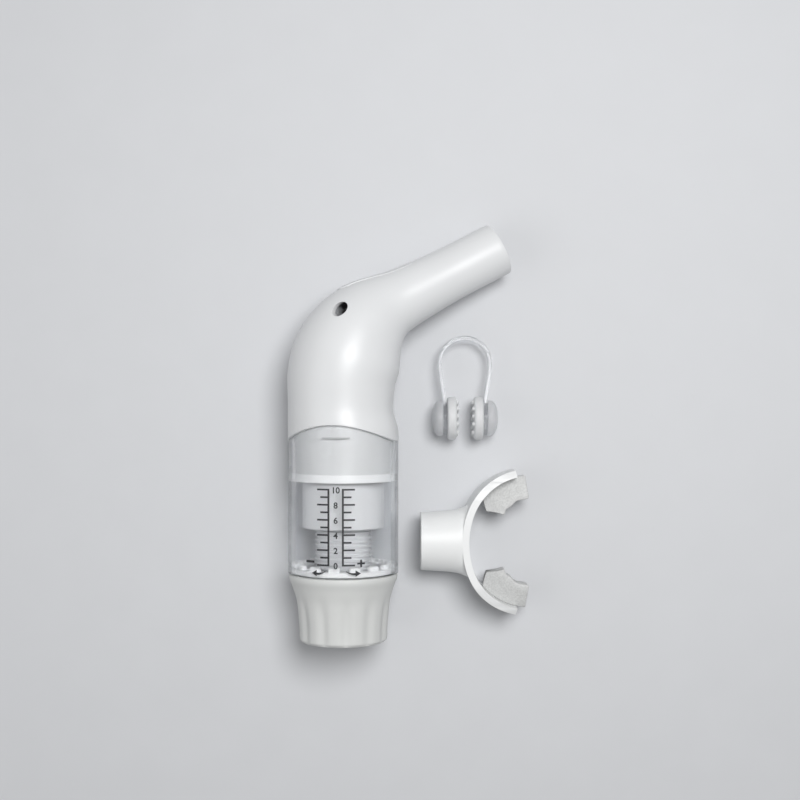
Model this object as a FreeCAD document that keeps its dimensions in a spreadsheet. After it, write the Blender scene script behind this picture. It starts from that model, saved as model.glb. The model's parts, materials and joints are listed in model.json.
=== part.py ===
"""A hand-held breathing trainer with its loose mouthpiece and nose clip.

The trainer is modelled upright in a frame of its own: Z runs up the barrel from the
knob's base, X points to the side that the neck bends towards, and -Y is the front.
It is then laid on its back, as it lies on a table, and rolled a little about the
barrel until the tip of the neck rests too. Lengths are millimetres, angles degrees.
"""
import FreeCAD, Part
import math
import os

import Sketcher
from FreeCAD import Placement, Rotation, Vector

doc = FreeCAD.newDocument("breathing_trainer")
sheet = doc.addObject("Spreadsheet::Sheet", "Sizes")

# Driving dimensions
KNOB = [
    ("knob_height", 29.6), ("knob_base_radius", 19.4), ("knob_grip_radius", 20.6),
    ("knob_grip_height", 17.6), ("knob_shoulder_radius", 22.3), ("knob_shoulder_height", 24.2),
    ("knob_rim_radius", 23.8), ("knob_wall", 2.0), ("knob_floor", 3.0), ("knob_edge", 1.2),
    ("knob_boss_height", 8.0), ("knob_boss_radius", 11.0), ("knob_ledge_height", 25.5),
    ("scallop_radius", 12.0), ("scallop_depth", 0.8), ("scallop_count", 12),
    ("cap_radius", 8.1), ("cap_thickness", 1.4), ("cap_inset", 0.2), ("cap_recess", 4.5),
]
DRIVE_SOCKET = [
    ("socket_flange_radius", 10.4), ("socket_flange", 2.0), ("socket_post_radius", 8.0),
    ("socket_height", 18.0), ("socket_floor", 6.0), ("drive_square", 8.0),
    ("screw_radius", 1.45), ("screw_head_radius", 2.9), ("screw_head", 1.8),
    ("screw_length", 9.0), ("screw_slot", 0.7), ("screw_slot_reach", 1.75),
]
SLEEVE = [
    ("sleeve_radius", 24.2), ("sleeve_wall", 1.5), ("sleeve_gap", 0.4), ("seam_height", 91.2),
    ("seam_wave", 3.6), ("seam_gap", 0.35), ("front_turn", -19.0), ("print_turn", -15.4),
    ("dash_length", 12.5), ("dash_width", 0.9), ("dash_depth", 0.5), ("dash_height", 88.5),
]
FRAME = [
    ("collar_radius", 22.2), ("collar_wall", 1.8), ("collar_bottom", 70.3),
    ("collar_top", 95.5), ("collar_band", 3.4), ("foot_bottom", 30.4), ("foot_height", 2.0),
    ("foot_wall", 4.2), ("lug_count", 14), ("lug_height", 2.8), ("lug_width", 5.0),
    ("lug_depth", 2.8), ("lug_round", 0.85), ("finger_count", 8), ("finger_bottom", 23.0),
    ("finger_radius", 19.6), ("finger_wall", 1.8), ("finger_slot", 3.0),
    ("hook_height", 2.2), ("hook_depth", 0.7), ("rail_width", 2.4), ("rail_gap", 4.4),
    ("rail_top", 89.6), ("rail_depth", 2.6),
]
CARRIAGE = [
    ("carriage_radius", 17.9), ("carriage_wall", 1.5), ("carriage_floor", 2.5),
    ("carriage_height", 24.8), ("hub_height", 8.0), ("hub_wall", 1.2), ("key_height", 16.0),
    ("key_reach", 2.0), ("scale_zero", 35.9), ("scale_step", 3.19), ("scale_reading", 4.33),
]
LEAD_SCREW = [
    ("thread_radius", 12.3), ("thread_depth", 0.9), ("thread_pitch", 2.0),
    ("thread_bottom", 29.0), ("thread_top", 77.0), ("ridge_base", 1.2), ("ridge_crest", 0.6),
    ("ridge_sunk", 0.18), ("lead_bore", 9.3), ("lead_floor", 6.0), ("spindle_bottom", 15.0),
    ("tooth_angle", 20.0),
    ("tooth_thickness", 0.6), ("tooth_count", 3), ("retainer_lip", 1.5), ("retainer_plug", 4.0),
]
VALVE = [
    ("stem_radius", 2.5), ("stem_head_radius", 4.2), ("stem_head", 1.9), ("insert_wall", 1.8),
    ("insert_bottom", 90.0), ("insert_top", 103.5), ("insert_flange", 0.8),
    ("insert_flange_reach", 1.7), ("insert_hub_radius", 4.6), ("valve_web", 2.6),
    ("valve_seat", 100.0), ("valve_port", 13.5), ("spoke_width", 2.4), ("spoke_count", 3),
    ("seal_radius", 15.2), ("seal_thickness", 2.0), ("poppet_radius", 14.0),
    ("poppet_head", 2.4), ("spring_radius", 14.9), ("spring_wire", 0.8), ("spring_turns", 9.0),
    ("wire_sides", 8), ("ring_wire", 0.75), ("ring_height", 98.7), ("ring_proud", 0.15),
]
NECK = [
    ("neck_wall", 2.2), ("neck_lip_radius", 24.3), ("neck_waist_radius", 23.1),
    ("neck_waist_height", 102.0), ("neck_lean", -1.2), ("neck_bore_top", 107.0),
    ("bend_start", 112.4), ("bend_radius", 40.0), ("bend_angle", 62.3),
    ("shoulder_radius", 24.1), ("shoulder_station", 14.0), ("crown_radius", 22.5),
    ("crown_station", 29.9), ("throat_radius", 19.5), ("throat_station", 44.2),
    ("elbow_radius", 14.6), ("taper_along", 12.1), ("taper_radius", 13.0),
    ("tip_radius", 11.9), ("straight_length", 54.6), ("tip_length", 20.0),
]
EXHALE = [
    ("port_radius", 3.25), ("port_station", 38.8), ("port_lean", 45.0), ("cover_start", 44.0),
    ("cover_end", 18.3), ("cover_width", 10.0), ("cover_inset", 0.4), ("cover_thickness", 1.1),
    ("cover_ledge", 1.2), ("cover_rim", 1.2), ("notch_width", 4.0), ("notch_depth", 1.2),
    ("chamber_depth", 10.3), ("chamber_floor", 1.6), ("chamber_back", 12.0),
    ("chamber_front", 38.0), ("seat_start", 2.0), ("seat_length", 20.0), ("seat_width", 9.0),
    ("seat_lip", 0.6), ("flap_margin", 2.0), ("flap_thickness", 0.8), ("clamp_length", 4.0),
]
MOUTHPIECE = [
    ("mouth_bore", 12.0), ("mouth_wall", 1.0), ("mouth_tube", 16.2), ("mouth_airway", 9.0),
    ("shield_radius", 32.6), ("shield_wall", 3.0), ("shield_span", 78.0),
    ("shield_oval", 36.0), ("shield_oval_depth", 15.5), ("bite_start", 35.0),
    ("bite_end", 86.0), ("bite_width", 10.2), ("bite_plate", 4.0), ("bite_edge", 2.0),
    ("bite_edge_height", 10.0),
]
NOSE_CLIP = [
    ("bow_radius", 12.3), ("bow_thickness", 1.8), ("bow_width", 9.0), ("bow_centre", 24.7),
    ("leg_gap", 8.1), ("leg_straight", 9.0), ("leg_disc_radius", 7.6), ("grip_radius", 8.0),
    ("grip_height", 4.8), ("pad_radius", 9.7), ("pad_thickness", 4.2), ("stud_radius", 1.1),
    ("stud_tip_radius", 0.66), ("stud_height", 1.0), ("stud_pitch", 3.4),
]
FITS = [("face_gap", 0.05), ("slip", 0.2), ("running_gap", 0.05), ("thread_gap", 0.25)]
LAYOUT = [
    ("mouth_side", 34.1), ("mouth_along", 42.4), ("clip_side", 54.2), ("clip_along", 97.3),
]
GROUPS = [
    KNOB, DRIVE_SOCKET, SLEEVE, FRAME, CARRIAGE, LEAD_SCREW, VALVE, NECK, EXHALE, MOUTHPIECE,
    NOSE_CLIP, FITS, LAYOUT,
]


class Size:
    """A number together with the sheet expression that gives it."""

    def __init__(self, value, text):
        self.value = float(value)
        self.text = text

    def __add__(self, other):
        return joined(self, "+", other, self.value + number(other))

    def __radd__(self, other):
        return joined(other, "+", self, number(other) + self.value)

    def __sub__(self, other):
        return joined(self, "-", other, self.value - number(other))

    def __rsub__(self, other):
        return joined(other, "-", self, number(other) - self.value)

    def __mul__(self, other):
        return joined(self, "*", other, self.value * number(other))

    def __rmul__(self, other):
        return joined(other, "*", self, number(other) * self.value)

    def __truediv__(self, other):
        return joined(self, "/", other, self.value / number(other))

    def __float__(self):
        return self.value

    def __int__(self):
        return int(round(self.value))


def number(item):
    return item.value if isinstance(item, Size) else float(item)


def words(item):
    return item.text if isinstance(item, Size) else repr(float(item))


def joined(left, sign, right, value):
    return Size(value, f"({words(left)} {sign} {words(right)})")


class Sizes:
    """The sheet's driving dimensions, each under its alias."""


size = Sizes()
DRIVING = [pair for group in GROUPS for pair in group]
for row, (alias, value) in enumerate(DRIVING, start=1):
    sheet.set(f"A{row}", alias)
    sheet.set(f"B{row}", str(value))
    sheet.setAlias(f"B{row}", alias)
    setattr(size, alias, Size(value, f"Sizes.{alias}"))
doc.recompute()

X_AXIS = Vector(1, 0, 0)
Y_AXIS = Vector(0, 1, 0)
Z_AXIS = Vector(0, 0, 1)
ORIGIN = Vector(0, 0, 0)

# Angle about Z of the trainer's front, where the seam is highest and the scale is read
FRONT = -90.0 + number(size.front_turn)
BACK = FRONT + 180.0
# Angle about Z of the middle of the printed scale and of the pressed dash above it
PRINT = -90.0 + number(size.print_turn)
# How finely the seam and the neck's skin are drawn
SEAM_POINTS = 36
SKIN_SECTIONS = 15

# Sizes that several pieces share
sleeve_bore = size.sleeve_radius - size.sleeve_wall
sleeve_bottom = size.knob_height + size.sleeve_gap
collar_bore = size.collar_radius - size.collar_wall
insert_radius = collar_bore - size.slip
insert_bore = insert_radius - size.insert_wall
neck_bore = collar_bore + size.slip
skirt_bore = size.collar_radius + size.slip * 1.5
neck_seat = size.collar_top + size.insert_flange + size.slip * 1.5
ledge_radius = size.finger_radius + size.slip * 2
hook_room = size.finger_radius + size.hook_depth + size.slip * 2
carriage_bottom = size.scale_zero + size.scale_step * size.scale_reading
carriage_bore = size.carriage_radius - size.carriage_wall
thread_bore = size.thread_radius + size.thread_gap
hub_radius = thread_bore + size.hub_wall
thread_root = size.thread_radius - size.thread_depth
stem_bore = size.stem_radius + size.running_gap
stem_end = size.thread_top - size.retainer_plug - size.slip


# Helpers that make bound objects
def bind(obj, **values):
    """Sets each property to its number and binds it to its expression."""
    for prop, item in values.items():
        setattr(obj, prop, number(item))
        if isinstance(item, Size):
            obj.setExpression(prop, item.text)
    return obj


def cylinder(name, radius, low, high):
    obj = bind(doc.addObject("Part::Cylinder", name), Radius=radius, Height=high - low)
    obj.Placement.Base = Vector(0, 0, number(low))
    if isinstance(low, Size):
        obj.setExpression("Placement.Base.z", low.text)
    return obj


def cut(name, base, *tools):
    obj = doc.addObject("Part::Cut", name)
    obj.Base = base
    obj.Tool = tools[0] if len(tools) == 1 else fuse(f"{name}_cutters", *tools)
    return obj


def fuse(name, *shapes):
    obj = doc.addObject("Part::MultiFuse", name)
    obj.Shapes = list(shapes)
    return obj


def common(name, *shapes):
    obj = doc.addObject("Part::MultiCommon", name)
    obj.Shapes = list(shapes)
    return obj


def feature(name, shape):
    obj = doc.addObject("Part::Feature", name)
    obj.Shape = shape
    return obj


def copies(name, shape, angles):
    """One shape repeated about Z at the given angles."""
    turned_shapes = []
    for angle in angles:
        copy = shape.copy()
        copy.rotate(ORIGIN, Z_AXIS, angle)
        turned_shapes.append(copy)
    return feature(name, Part.makeCompound(turned_shapes))


def around(count, first=0.0):
    """Evenly spaced angles for a repeated shape."""
    return [first + 360.0 * index / int(count) for index in range(int(count))]


def block(low, high):
    """A box from its lowest to its highest corner."""
    corner = Vector(*[number(item) for item in low])
    opposite = Vector(*[number(item) for item in high])
    span = opposite - corner
    return Part.makeBox(span.x, span.y, span.z, corner)


def origin_plane(body, role):
    return next(item for item in body.Origin.OriginFeatures if item.Role == role)


def hold(sketch, kind, index, item):
    """Fixes the start of line `index` at a bound distance from the sketch's origin."""
    if number(item) == 0:
        axis = -2 if kind == "DistanceX" else -1
        sketch.addConstraint(Sketcher.Constraint("PointOnObject", index, 1, axis))
        return
    place = sketch.addConstraint(Sketcher.Constraint(kind, -1, 1, index, 1, number(item)))
    if isinstance(item, Size):
        sketch.setExpression(f"Constraints[{place}]", item.text)


def turned(name, points):
    """A body turned about Z from a sketch of bound radius and height points."""
    body = doc.addObject("PartDesign::Body", name)
    sketch = body.newObject("Sketcher::SketchObject", f"{name}_profile")
    sketch.AttachmentSupport = [(origin_plane(body, "XZ_Plane"), "")]
    sketch.MapMode = "FlatFace"
    corners = [Vector(number(radius), number(height), 0) for radius, height in points]
    following = corners[1:] + corners[:1]
    for start, end in zip(corners, following):
        sketch.addGeometry(Part.LineSegment(start, end), False)
    for index in range(len(corners)):
        after = (index + 1) % len(corners)
        sketch.addConstraint(Sketcher.Constraint("Coincident", index, 2, after, 1))
    for index, (radius, height) in enumerate(points):
        hold(sketch, "DistanceX", index, radius)
        hold(sketch, "DistanceY", index, height)
    spin = body.newObject("PartDesign::Revolution", f"{name}_turned")
    spin.Profile = sketch
    spin.ReferenceAxis = (sketch, ["V_Axis"])
    spin.Angle = 360.0
    return body


# Knob
def make_knob():
    recess_radius = size.cap_radius + size.slip / 2
    screw_hole = size.screw_radius + size.slip
    shell = turned("knob_shell", [
        (recess_radius, 0), (size.knob_base_radius - size.knob_edge, 0),
        (size.knob_base_radius, size.knob_edge), (size.knob_grip_radius, size.knob_grip_height),
        (size.knob_shoulder_radius, size.knob_shoulder_height),
        (size.knob_rim_radius, size.knob_height - size.knob_edge),
        (size.knob_rim_radius - size.knob_edge / 4, size.knob_height),
        (ledge_radius, size.knob_height), (ledge_radius, size.knob_ledge_height),
        (hook_room, size.knob_ledge_height), (hook_room, size.finger_bottom - size.slip),
        (size.knob_grip_radius - size.knob_wall, size.knob_grip_height),
        (size.knob_base_radius - size.knob_wall, size.knob_floor),
        (size.knob_boss_radius, size.knob_floor), (size.knob_boss_radius, size.knob_boss_height),
        (screw_hole, size.knob_boss_height), (screw_hole, size.cap_recess),
        (recess_radius, size.cap_recess),
    ])
    # Each scallop is a slanted cylinder that follows the knob's taper
    taper = math.degrees(math.atan2(
        number(size.knob_shoulder_radius - size.knob_base_radius),
        number(size.knob_shoulder_height)))
    scallop = Part.makeCylinder(number(size.scallop_radius), number(size.knob_shoulder_height))
    scallop.rotate(ORIGIN, Y_AXIS, taper)
    reach = size.knob_base_radius + size.scallop_radius - size.scallop_depth
    scallop.translate(X_AXIS * number(reach))
    spacing = 360.0 / int(size.scallop_count)
    scallops = copies("knob_scallops", scallop, around(size.scallop_count, FRONT + spacing / 2))
    return cut("knob", shell, scallops)


def make_knob_cap():
    low = size.cap_inset
    high = size.cap_inset + size.cap_thickness
    edge = size.cap_thickness / 4
    return turned("knob_cap", [
        (0, low), (size.cap_radius - edge, low), (size.cap_radius, low + edge),
        (size.cap_radius, high), (0, high),
    ])


def make_drive_socket():
    low = size.knob_boss_height
    shoulder = size.knob_boss_height + size.socket_flange
    top = size.knob_boss_height + size.socket_height
    pilot = size.screw_radius + size.running_gap
    post = turned("socket_post", [
        (pilot, low), (size.socket_flange_radius, low), (size.socket_flange_radius, shoulder),
        (size.socket_post_radius, shoulder), (size.socket_post_radius, top), (pilot, top),
    ])
    half = size.drive_square / 2 + size.slip
    floor = size.knob_boss_height + size.socket_floor
    square = feature("socket_square", block((-1 * half, -1 * half, floor), (half, half, top)))
    return cut("drive_socket", post, square)


def make_socket_screw():
    seat = size.cap_recess
    tip = size.cap_recess + size.screw_length
    blank = turned("screw_blank", [
        (0, seat - size.screw_head),
        (size.screw_head_radius - size.screw_head / 3, seat - size.screw_head),
        (size.screw_head_radius, seat - size.screw_head / 2), (size.screw_head_radius, seat),
        (size.screw_radius, seat), (size.screw_radius, tip - size.screw_radius),
        (size.screw_radius / 3, tip), (0, tip),
    ])
    head_low = seat - size.screw_head
    reach = size.screw_slot_reach
    half = size.screw_slot / 2
    slot = block((-1 * reach, -1 * half, head_low), (reach, half, head_low + size.screw_slot))
    return cut("socket_screw", blank, copies("screw_cross", slot, [0.0, 90.0]))


# Clear sleeve, and the wavy seam between it and the neck housing
def seam_block(name, lift):
    """A solid whose top is the seam's saddle wave, raised by `lift`."""
    depth = number(size.seam_height)
    beyond = size.sleeve_radius + size.seam_wave * 2
    edges = []
    for radius in (number(size.sleeve_radius / 2), number(beyond)):
        points = []
        for index in range(SEAM_POINTS):
            angle = 2 * math.pi * index / SEAM_POINTS
            wave = math.cos(2 * (angle - math.radians(FRONT)))
            level = number(size.seam_height + lift) + number(size.seam_wave) * wave
            points.append(Vector(radius * math.cos(angle), radius * math.sin(angle), level))
        curve = Part.BSplineCurve()
        curve.interpolate(Points=points, PeriodicFlag=True)
        edges.append(curve.toShape())
    surface = Part.makeRuledSurface(edges[0], edges[1])
    return feature(name, surface.extrude(Z_AXIS * -depth))


def make_clear_sleeve():
    top = size.seam_height + size.seam_wave * 2
    tube = cut("sleeve_tube", cylinder("sleeve_outside", size.sleeve_radius, sleeve_bottom, top),
               cylinder("sleeve_inside", sleeve_bore, sleeve_bottom, top))
    waved = common("sleeve_waved", tube, seam_block("sleeve_seam", size.seam_gap * -0.5))
    # The short dash pressed into the sleeve's front just under the seam
    width = number(size.dash_width)
    groove_floor = size.sleeve_radius - size.dash_depth
    beyond = size.sleeve_radius + size.dash_depth
    groove = Part.makeCylinder(number(beyond), width)
    groove = groove.cut(Part.makeCylinder(number(groove_floor), width))
    half = size.dash_length / 2
    groove = groove.common(block((0, -1 * half, 0), (beyond, half, width)))
    groove.translate(Z_AXIS * number(size.dash_height))
    return cut("clear_sleeve", waved, copies("sleeve_dash", groove, [PRINT]))


# Inner frame: collar, foot ring with its lugs, snap fingers and guide rails
def make_inner_frame():
    band_radius = sleeve_bore - size.slip / 2
    band_top = size.collar_bottom + size.collar_band
    collar = turned("frame_collar", [
        (collar_bore, size.collar_bottom), (band_radius, size.collar_bottom),
        (band_radius, band_top), (size.collar_radius, band_top),
        (size.collar_radius, size.collar_top), (collar_bore, size.collar_top),
    ])
    foot_top = size.foot_bottom + size.foot_height
    foot_bore = band_radius - size.foot_wall
    foot = turned("frame_foot", [
        (foot_bore, size.foot_bottom), (band_radius, size.foot_bottom),
        (band_radius, foot_top), (foot_bore, foot_top),
    ])
    half = size.lug_width / 2
    lug = block((foot_bore, -1 * half, foot_top - size.face_gap),
                (foot_bore + size.lug_depth, half, foot_top + size.lug_height))
    lug = lug.makeFillet(number(size.lug_round), lug.Edges)
    lug.translate(Z_AXIS * (-1 * number(size.lug_round)))
    lugs = copies("frame_lugs", lug, around(size.lug_count, FRONT))
    finger_bore = size.finger_radius - size.finger_wall
    hook_top = size.finger_bottom + size.hook_height
    hook_radius = size.finger_radius + size.hook_depth
    ring = turned("finger_ring", [
        (finger_bore, size.finger_bottom), (size.finger_radius, size.finger_bottom),
        (hook_radius, size.finger_bottom + size.hook_depth), (hook_radius, hook_top),
        (size.finger_radius, hook_top), (size.finger_radius, foot_top),
        (finger_bore, foot_top),
    ])
    half = size.finger_slot / 2
    slot = block((finger_bore - size.finger_wall, -1 * half, size.finger_bottom - size.slip),
                 (hook_radius + size.slip, half, size.foot_bottom - size.finger_slot))
    fingers = cut("frame_fingers", ring, copies("finger_slots", slot, around(size.finger_count)))
    rail_bore = sleeve_bore - size.slip * 4 - size.rail_depth - size.slip
    low_side = size.rail_gap / 2
    high_side = size.rail_gap / 2 + size.rail_width
    rail = block((rail_bore, low_side, size.foot_bottom),
                 (rail_bore + size.rail_depth, high_side, size.rail_top))
    mirrored = rail.mirror(ORIGIN, Y_AXIS)
    rails = copies("frame_rails", Part.makeCompound([rail, mirrored]), [BACK])
    return fuse("inner_frame", collar, foot, lugs, fingers, rails)


# Carriage that the lead screw raises along the scale
def make_carriage():
    low = carriage_bottom
    floor_top = carriage_bottom + size.carriage_floor
    top = carriage_bottom + size.carriage_height
    edge = size.carriage_wall / 3
    cup = turned("carriage_cup", [
        (thread_bore, low), (size.carriage_radius - edge, low),
        (size.carriage_radius, low + edge), (size.carriage_radius, top), (carriage_bore, top),
        (carriage_bore, floor_top), (hub_radius, floor_top), (hub_radius, low + size.hub_height),
        (thread_bore, low + size.hub_height),
    ])
    half = size.rail_gap / 2 - size.slip * 1.5
    key = block((carriage_bore + size.carriage_wall / 2, -1 * half, low),
                (size.carriage_radius + size.key_reach, half, low + size.key_height))
    return fuse("carriage", cup, copies("carriage_key", key, [BACK]), thread_teeth())


def thread_teeth():
    """Short nut teeth in the carriage's bore, each midway between two turns of the ridge."""
    pitch = number(size.thread_pitch)
    thickness = number(size.tooth_thickness)
    inner = thread_root + size.slip * 1.5
    outer = thread_bore + size.hub_wall / 2
    middle = number(carriage_bottom + size.hub_height / 2)
    ridge_start = number(size.thread_bottom + size.ridge_base / 2)
    teeth = []
    for angle in around(size.tooth_count):
        groove = ridge_start + pitch * (0.5 - angle / 360.0)
        height = groove + pitch * round((middle - groove) / pitch)
        tooth = Part.makeCylinder(number(outer), thickness, ORIGIN, Z_AXIS, number(size.tooth_angle))
        core = Part.makeCylinder(number(inner), thickness)
        tooth = tooth.cut(core)
        tooth.rotate(ORIGIN, Z_AXIS, angle - number(size.tooth_angle) / 2)
        tooth.translate(Z_AXIS * (height - thickness / 2))
        teeth.append(tooth)
    return feature("carriage_teeth", Part.makeCompound(teeth))


# Lead screw with a left-hand thread, its square spindle and the cap over its bore
def make_lead_screw():
    bore_floor = size.thread_bottom + size.lead_floor
    core = turned("lead_core", [
        (0, size.thread_bottom), (thread_root, size.thread_bottom),
        (thread_root, size.thread_top), (size.lead_bore, size.thread_top),
        (size.lead_bore, bore_floor), (0, bore_floor),
    ])
    half = size.drive_square / 2
    spindle = feature("lead_spindle", block(
        (-1 * half, -1 * half, size.spindle_bottom), (half, half, size.thread_bottom + size.slip)))
    root = number(thread_root)
    crest = number(size.thread_radius)
    base = number(size.ridge_base)
    tip = number(size.ridge_crest)
    sunk = number(size.ridge_sunk)
    height = number(size.thread_top - size.thread_bottom) - base
    helix = Part.makeLongHelix(number(size.thread_pitch), height, root, 0, True)
    corners = [
        Vector(root - sunk, 0, -base / 2), Vector(root, 0, -base / 2), Vector(crest, 0, -tip / 2),
        Vector(crest, 0, tip / 2), Vector(root, 0, base / 2), Vector(root - sunk, 0, base / 2),
    ]
    profile = Part.makePolygon(corners + corners[:1])
    ridge = Part.Wire(helix.Edges).makePipeShell([profile], True, True)
    ridge.translate(Z_AXIS * number(size.thread_bottom + size.ridge_base / 2))
    return fuse("lead_screw", core, spindle, feature("lead_ridge", ridge))


def make_stem_retainer():
    top = size.thread_top + size.retainer_lip
    plug_radius = size.lead_bore - size.slip / 2
    plug_low = size.thread_top - size.retainer_plug
    return turned("stem_retainer", [
        (stem_bore, plug_low), (plug_radius, plug_low), (plug_radius, size.thread_top),
        (thread_root, size.thread_top), (thread_root, top), (stem_bore, top),
    ])


# Spring-loaded inlet valve
def make_valve_insert():
    flange_radius = insert_radius + size.insert_flange_reach
    flange_top = size.collar_top + size.insert_flange
    groove_radius = insert_radius + size.ring_proud - size.ring_wire * 2
    groove_low = size.ring_height - size.ring_wire - size.slip
    groove_top = size.ring_height + size.ring_wire + size.slip
    web_low = size.valve_seat - size.valve_web
    rim = turned("insert_rim", [
        (insert_bore, size.insert_bottom), (insert_radius, size.insert_bottom),
        (insert_radius, size.collar_top), (flange_radius, size.collar_top),
        (flange_radius, flange_top), (insert_radius, flange_top), (insert_radius, groove_low),
        (groove_radius, groove_low), (groove_radius, groove_top), (insert_radius, groove_top),
        (insert_radius, size.insert_top), (insert_bore, size.insert_top),
        (insert_bore, size.valve_seat), (size.valve_port, size.valve_seat),
        (size.valve_port, web_low), (insert_bore, web_low),
    ])
    spoke_low = web_low
    spoke_top = size.valve_seat - size.slip * 2
    half = size.spoke_width / 2
    spoke = block((stem_bore + size.slip, -1 * half, spoke_low),
                  (size.valve_port + size.slip, half, spoke_top))
    spokes = copies("insert_spokes", spoke, around(size.spoke_count, BACK))
    hub = turned("insert_hub", [
        (stem_bore, size.insert_bottom), (size.insert_hub_radius, size.insert_bottom),
        (size.insert_hub_radius, spoke_top), (stem_bore, spoke_top),
    ])
    bore = cylinder("insert_hub_bore", stem_bore, size.insert_bottom - size.slip,
                    size.valve_seat)
    return cut("valve_insert", fuse("insert_body", rim, spokes, hub), bore)


def make_poppet():
    head_low = size.valve_seat + size.face_gap + size.seal_thickness
    head_top = head_low + size.poppet_head
    edge = size.poppet_head / 3
    head_bottom = stem_end - size.stem_head
    return turned("poppet", [
        (0, head_bottom), (size.stem_head_radius, head_bottom), (size.stem_head_radius, stem_end),
        (size.stem_radius, stem_end), (size.stem_radius, head_low),
        (size.poppet_radius, head_low), (size.poppet_radius, head_top - edge),
        (size.poppet_radius - edge, head_top), (0, head_top),
    ])


def make_poppet_seal():
    low = size.valve_seat + size.face_gap
    top = low + size.seal_thickness
    lip = size.seal_thickness / 4
    return turned("poppet_seal", [
        (stem_bore, low), (size.seal_radius - lip, low), (size.seal_radius, low + lip),
        (size.seal_radius, top - lip), (size.seal_radius - lip, top), (stem_bore, top),
    ])


def make_load_spring():
    wire = number(size.spring_wire)
    low = number(carriage_bottom + size.carriage_floor) + wire + number(size.face_gap)
    high = number(size.valve_seat - size.valve_web) - wire - number(size.face_gap)
    pitch = (high - low) / number(size.spring_turns)
    radius = number(size.spring_radius)
    helix = Part.makeHelix(pitch, high - low, radius)
    # The wire's round section is drawn with a few flat sides
    corners = []
    for angle in around(size.wire_sides):
        across = wire * math.cos(math.radians(angle))
        corners.append(Vector(radius + across, 0, wire * math.sin(math.radians(angle))))
    section = Part.makePolygon(corners + corners[:1])
    spring = Part.Wire(helix.Edges).makePipeShell([section], True, True)
    spring.translate(Z_AXIS * low)
    return feature("load_spring", spring)


def make_neck_oring():
    body = doc.addObject("PartDesign::Body", "neck_oring")
    sketch = body.newObject("Sketcher::SketchObject", "neck_oring_profile")
    sketch.AttachmentSupport = [(origin_plane(body, "XZ_Plane"), "")]
    sketch.MapMode = "FlatFace"
    across = insert_radius + size.ring_proud - size.ring_wire
    centre = Vector(number(across), number(size.ring_height), 0)
    sketch.addGeometry(Part.Circle(centre, Vector(0, 0, 1), number(size.ring_wire)), False)
    for kind, item in (("DistanceX", across), ("DistanceY", size.ring_height)):
        place = sketch.addConstraint(Sketcher.Constraint(kind, -1, 1, 0, 3, number(item)))
        sketch.setExpression(f"Constraints[{place}]", item.text)
    place = sketch.addConstraint(Sketcher.Constraint("Radius", 0, number(size.ring_wire)))
    sketch.setExpression(f"Constraints[{place}]", size.ring_wire.text)
    spin = body.newObject("PartDesign::Revolution", "neck_oring_turned")
    spin.Profile = sketch
    spin.ReferenceAxis = (sketch, ["V_Axis"])
    spin.Angle = 360.0
    return body


# Neck housing: round sections along a short upright, a bend and a straight
def bend_place(station, out=0.0):
    """A point of the bend plane, `out` from the centreline, and the way outwards there."""
    angle = math.radians(number(station))
    outward = Vector(-math.cos(angle), 0, math.sin(angle))
    centre = Vector(number(size.bend_radius), 0, number(size.bend_start))
    return centre + outward * (number(size.bend_radius) + number(out)), outward


def neck_direction():
    angle = math.radians(number(size.bend_angle))
    return Vector(math.sin(angle), 0, math.cos(angle))


def straight_place(along, out=0.0):
    start, outward = bend_place(size.bend_angle)
    return start + neck_direction() * number(along) + outward * number(out)


def arc_length(station):
    return number(size.bend_radius) * math.radians(number(station))


def neck_frame(travel):
    """Centre and direction of the neck, `travel` along it from the start of the bend."""
    bend = arc_length(size.bend_angle)
    if travel <= 0:
        return Vector(0, 0, number(size.bend_start) + travel), Z_AXIS
    if travel >= bend:
        return straight_place(travel - bend), neck_direction()
    station = math.degrees(travel / number(size.bend_radius))
    place, outward = bend_place(station)
    return place, outward.cross(Y_AXIS) * -1


def eased(places, values, at):
    """A smooth curve through values at growing places, flat beyond both ends."""
    if at <= places[0]:
        return values[0]
    if at >= places[-1]:
        return values[-1]
    index = max(i for i in range(len(places) - 1) if places[i] <= at)
    span = places[index + 1] - places[index]
    share = (at - places[index]) / span
    result = values[index] * (2 * share ** 3 - 3 * share ** 2 + 1)
    result = result + values[index + 1] * (3 * share ** 2 - 2 * share ** 3)
    slopes = {index: share ** 3 - 2 * share ** 2 + share, index + 1: share ** 3 - share ** 2}
    for knot, weight in slopes.items():
        if 0 < knot < len(places) - 1:
            rise = (values[knot + 1] - values[knot - 1]) / (places[knot + 1] - places[knot - 1])
            result = result + rise * (span * weight)
    return result


def neck_radius(travel):
    """The neck's outer radius, `travel` along it from the start of the bend."""
    bend = arc_length(size.bend_angle)
    straight = number(size.straight_length - size.tip_length)
    waist = number(size.neck_waist_height - size.bend_start)
    lip = number(size.seam_height - size.bend_start)
    places = [lip, waist, arc_length(size.shoulder_station), arc_length(size.crown_station),
              arc_length(size.throat_station), bend, bend + number(size.taper_along),
              bend + straight]
    values = [size.neck_lip_radius, size.neck_waist_radius, size.shoulder_radius,
              size.crown_radius, size.throat_radius, size.elbow_radius, size.taper_radius,
              size.tip_radius]
    return eased(places, values, travel)


def neck_lean(travel):
    """How far the waist leans away from the side that the neck bends towards."""
    lip = number(size.seam_height - size.bend_start)
    waist = number(size.neck_waist_height - size.bend_start)
    shoulder = arc_length(size.shoulder_station)
    return eased([lip, waist, shoulder], [0.0, number(size.neck_lean), 0.0], travel)


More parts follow.
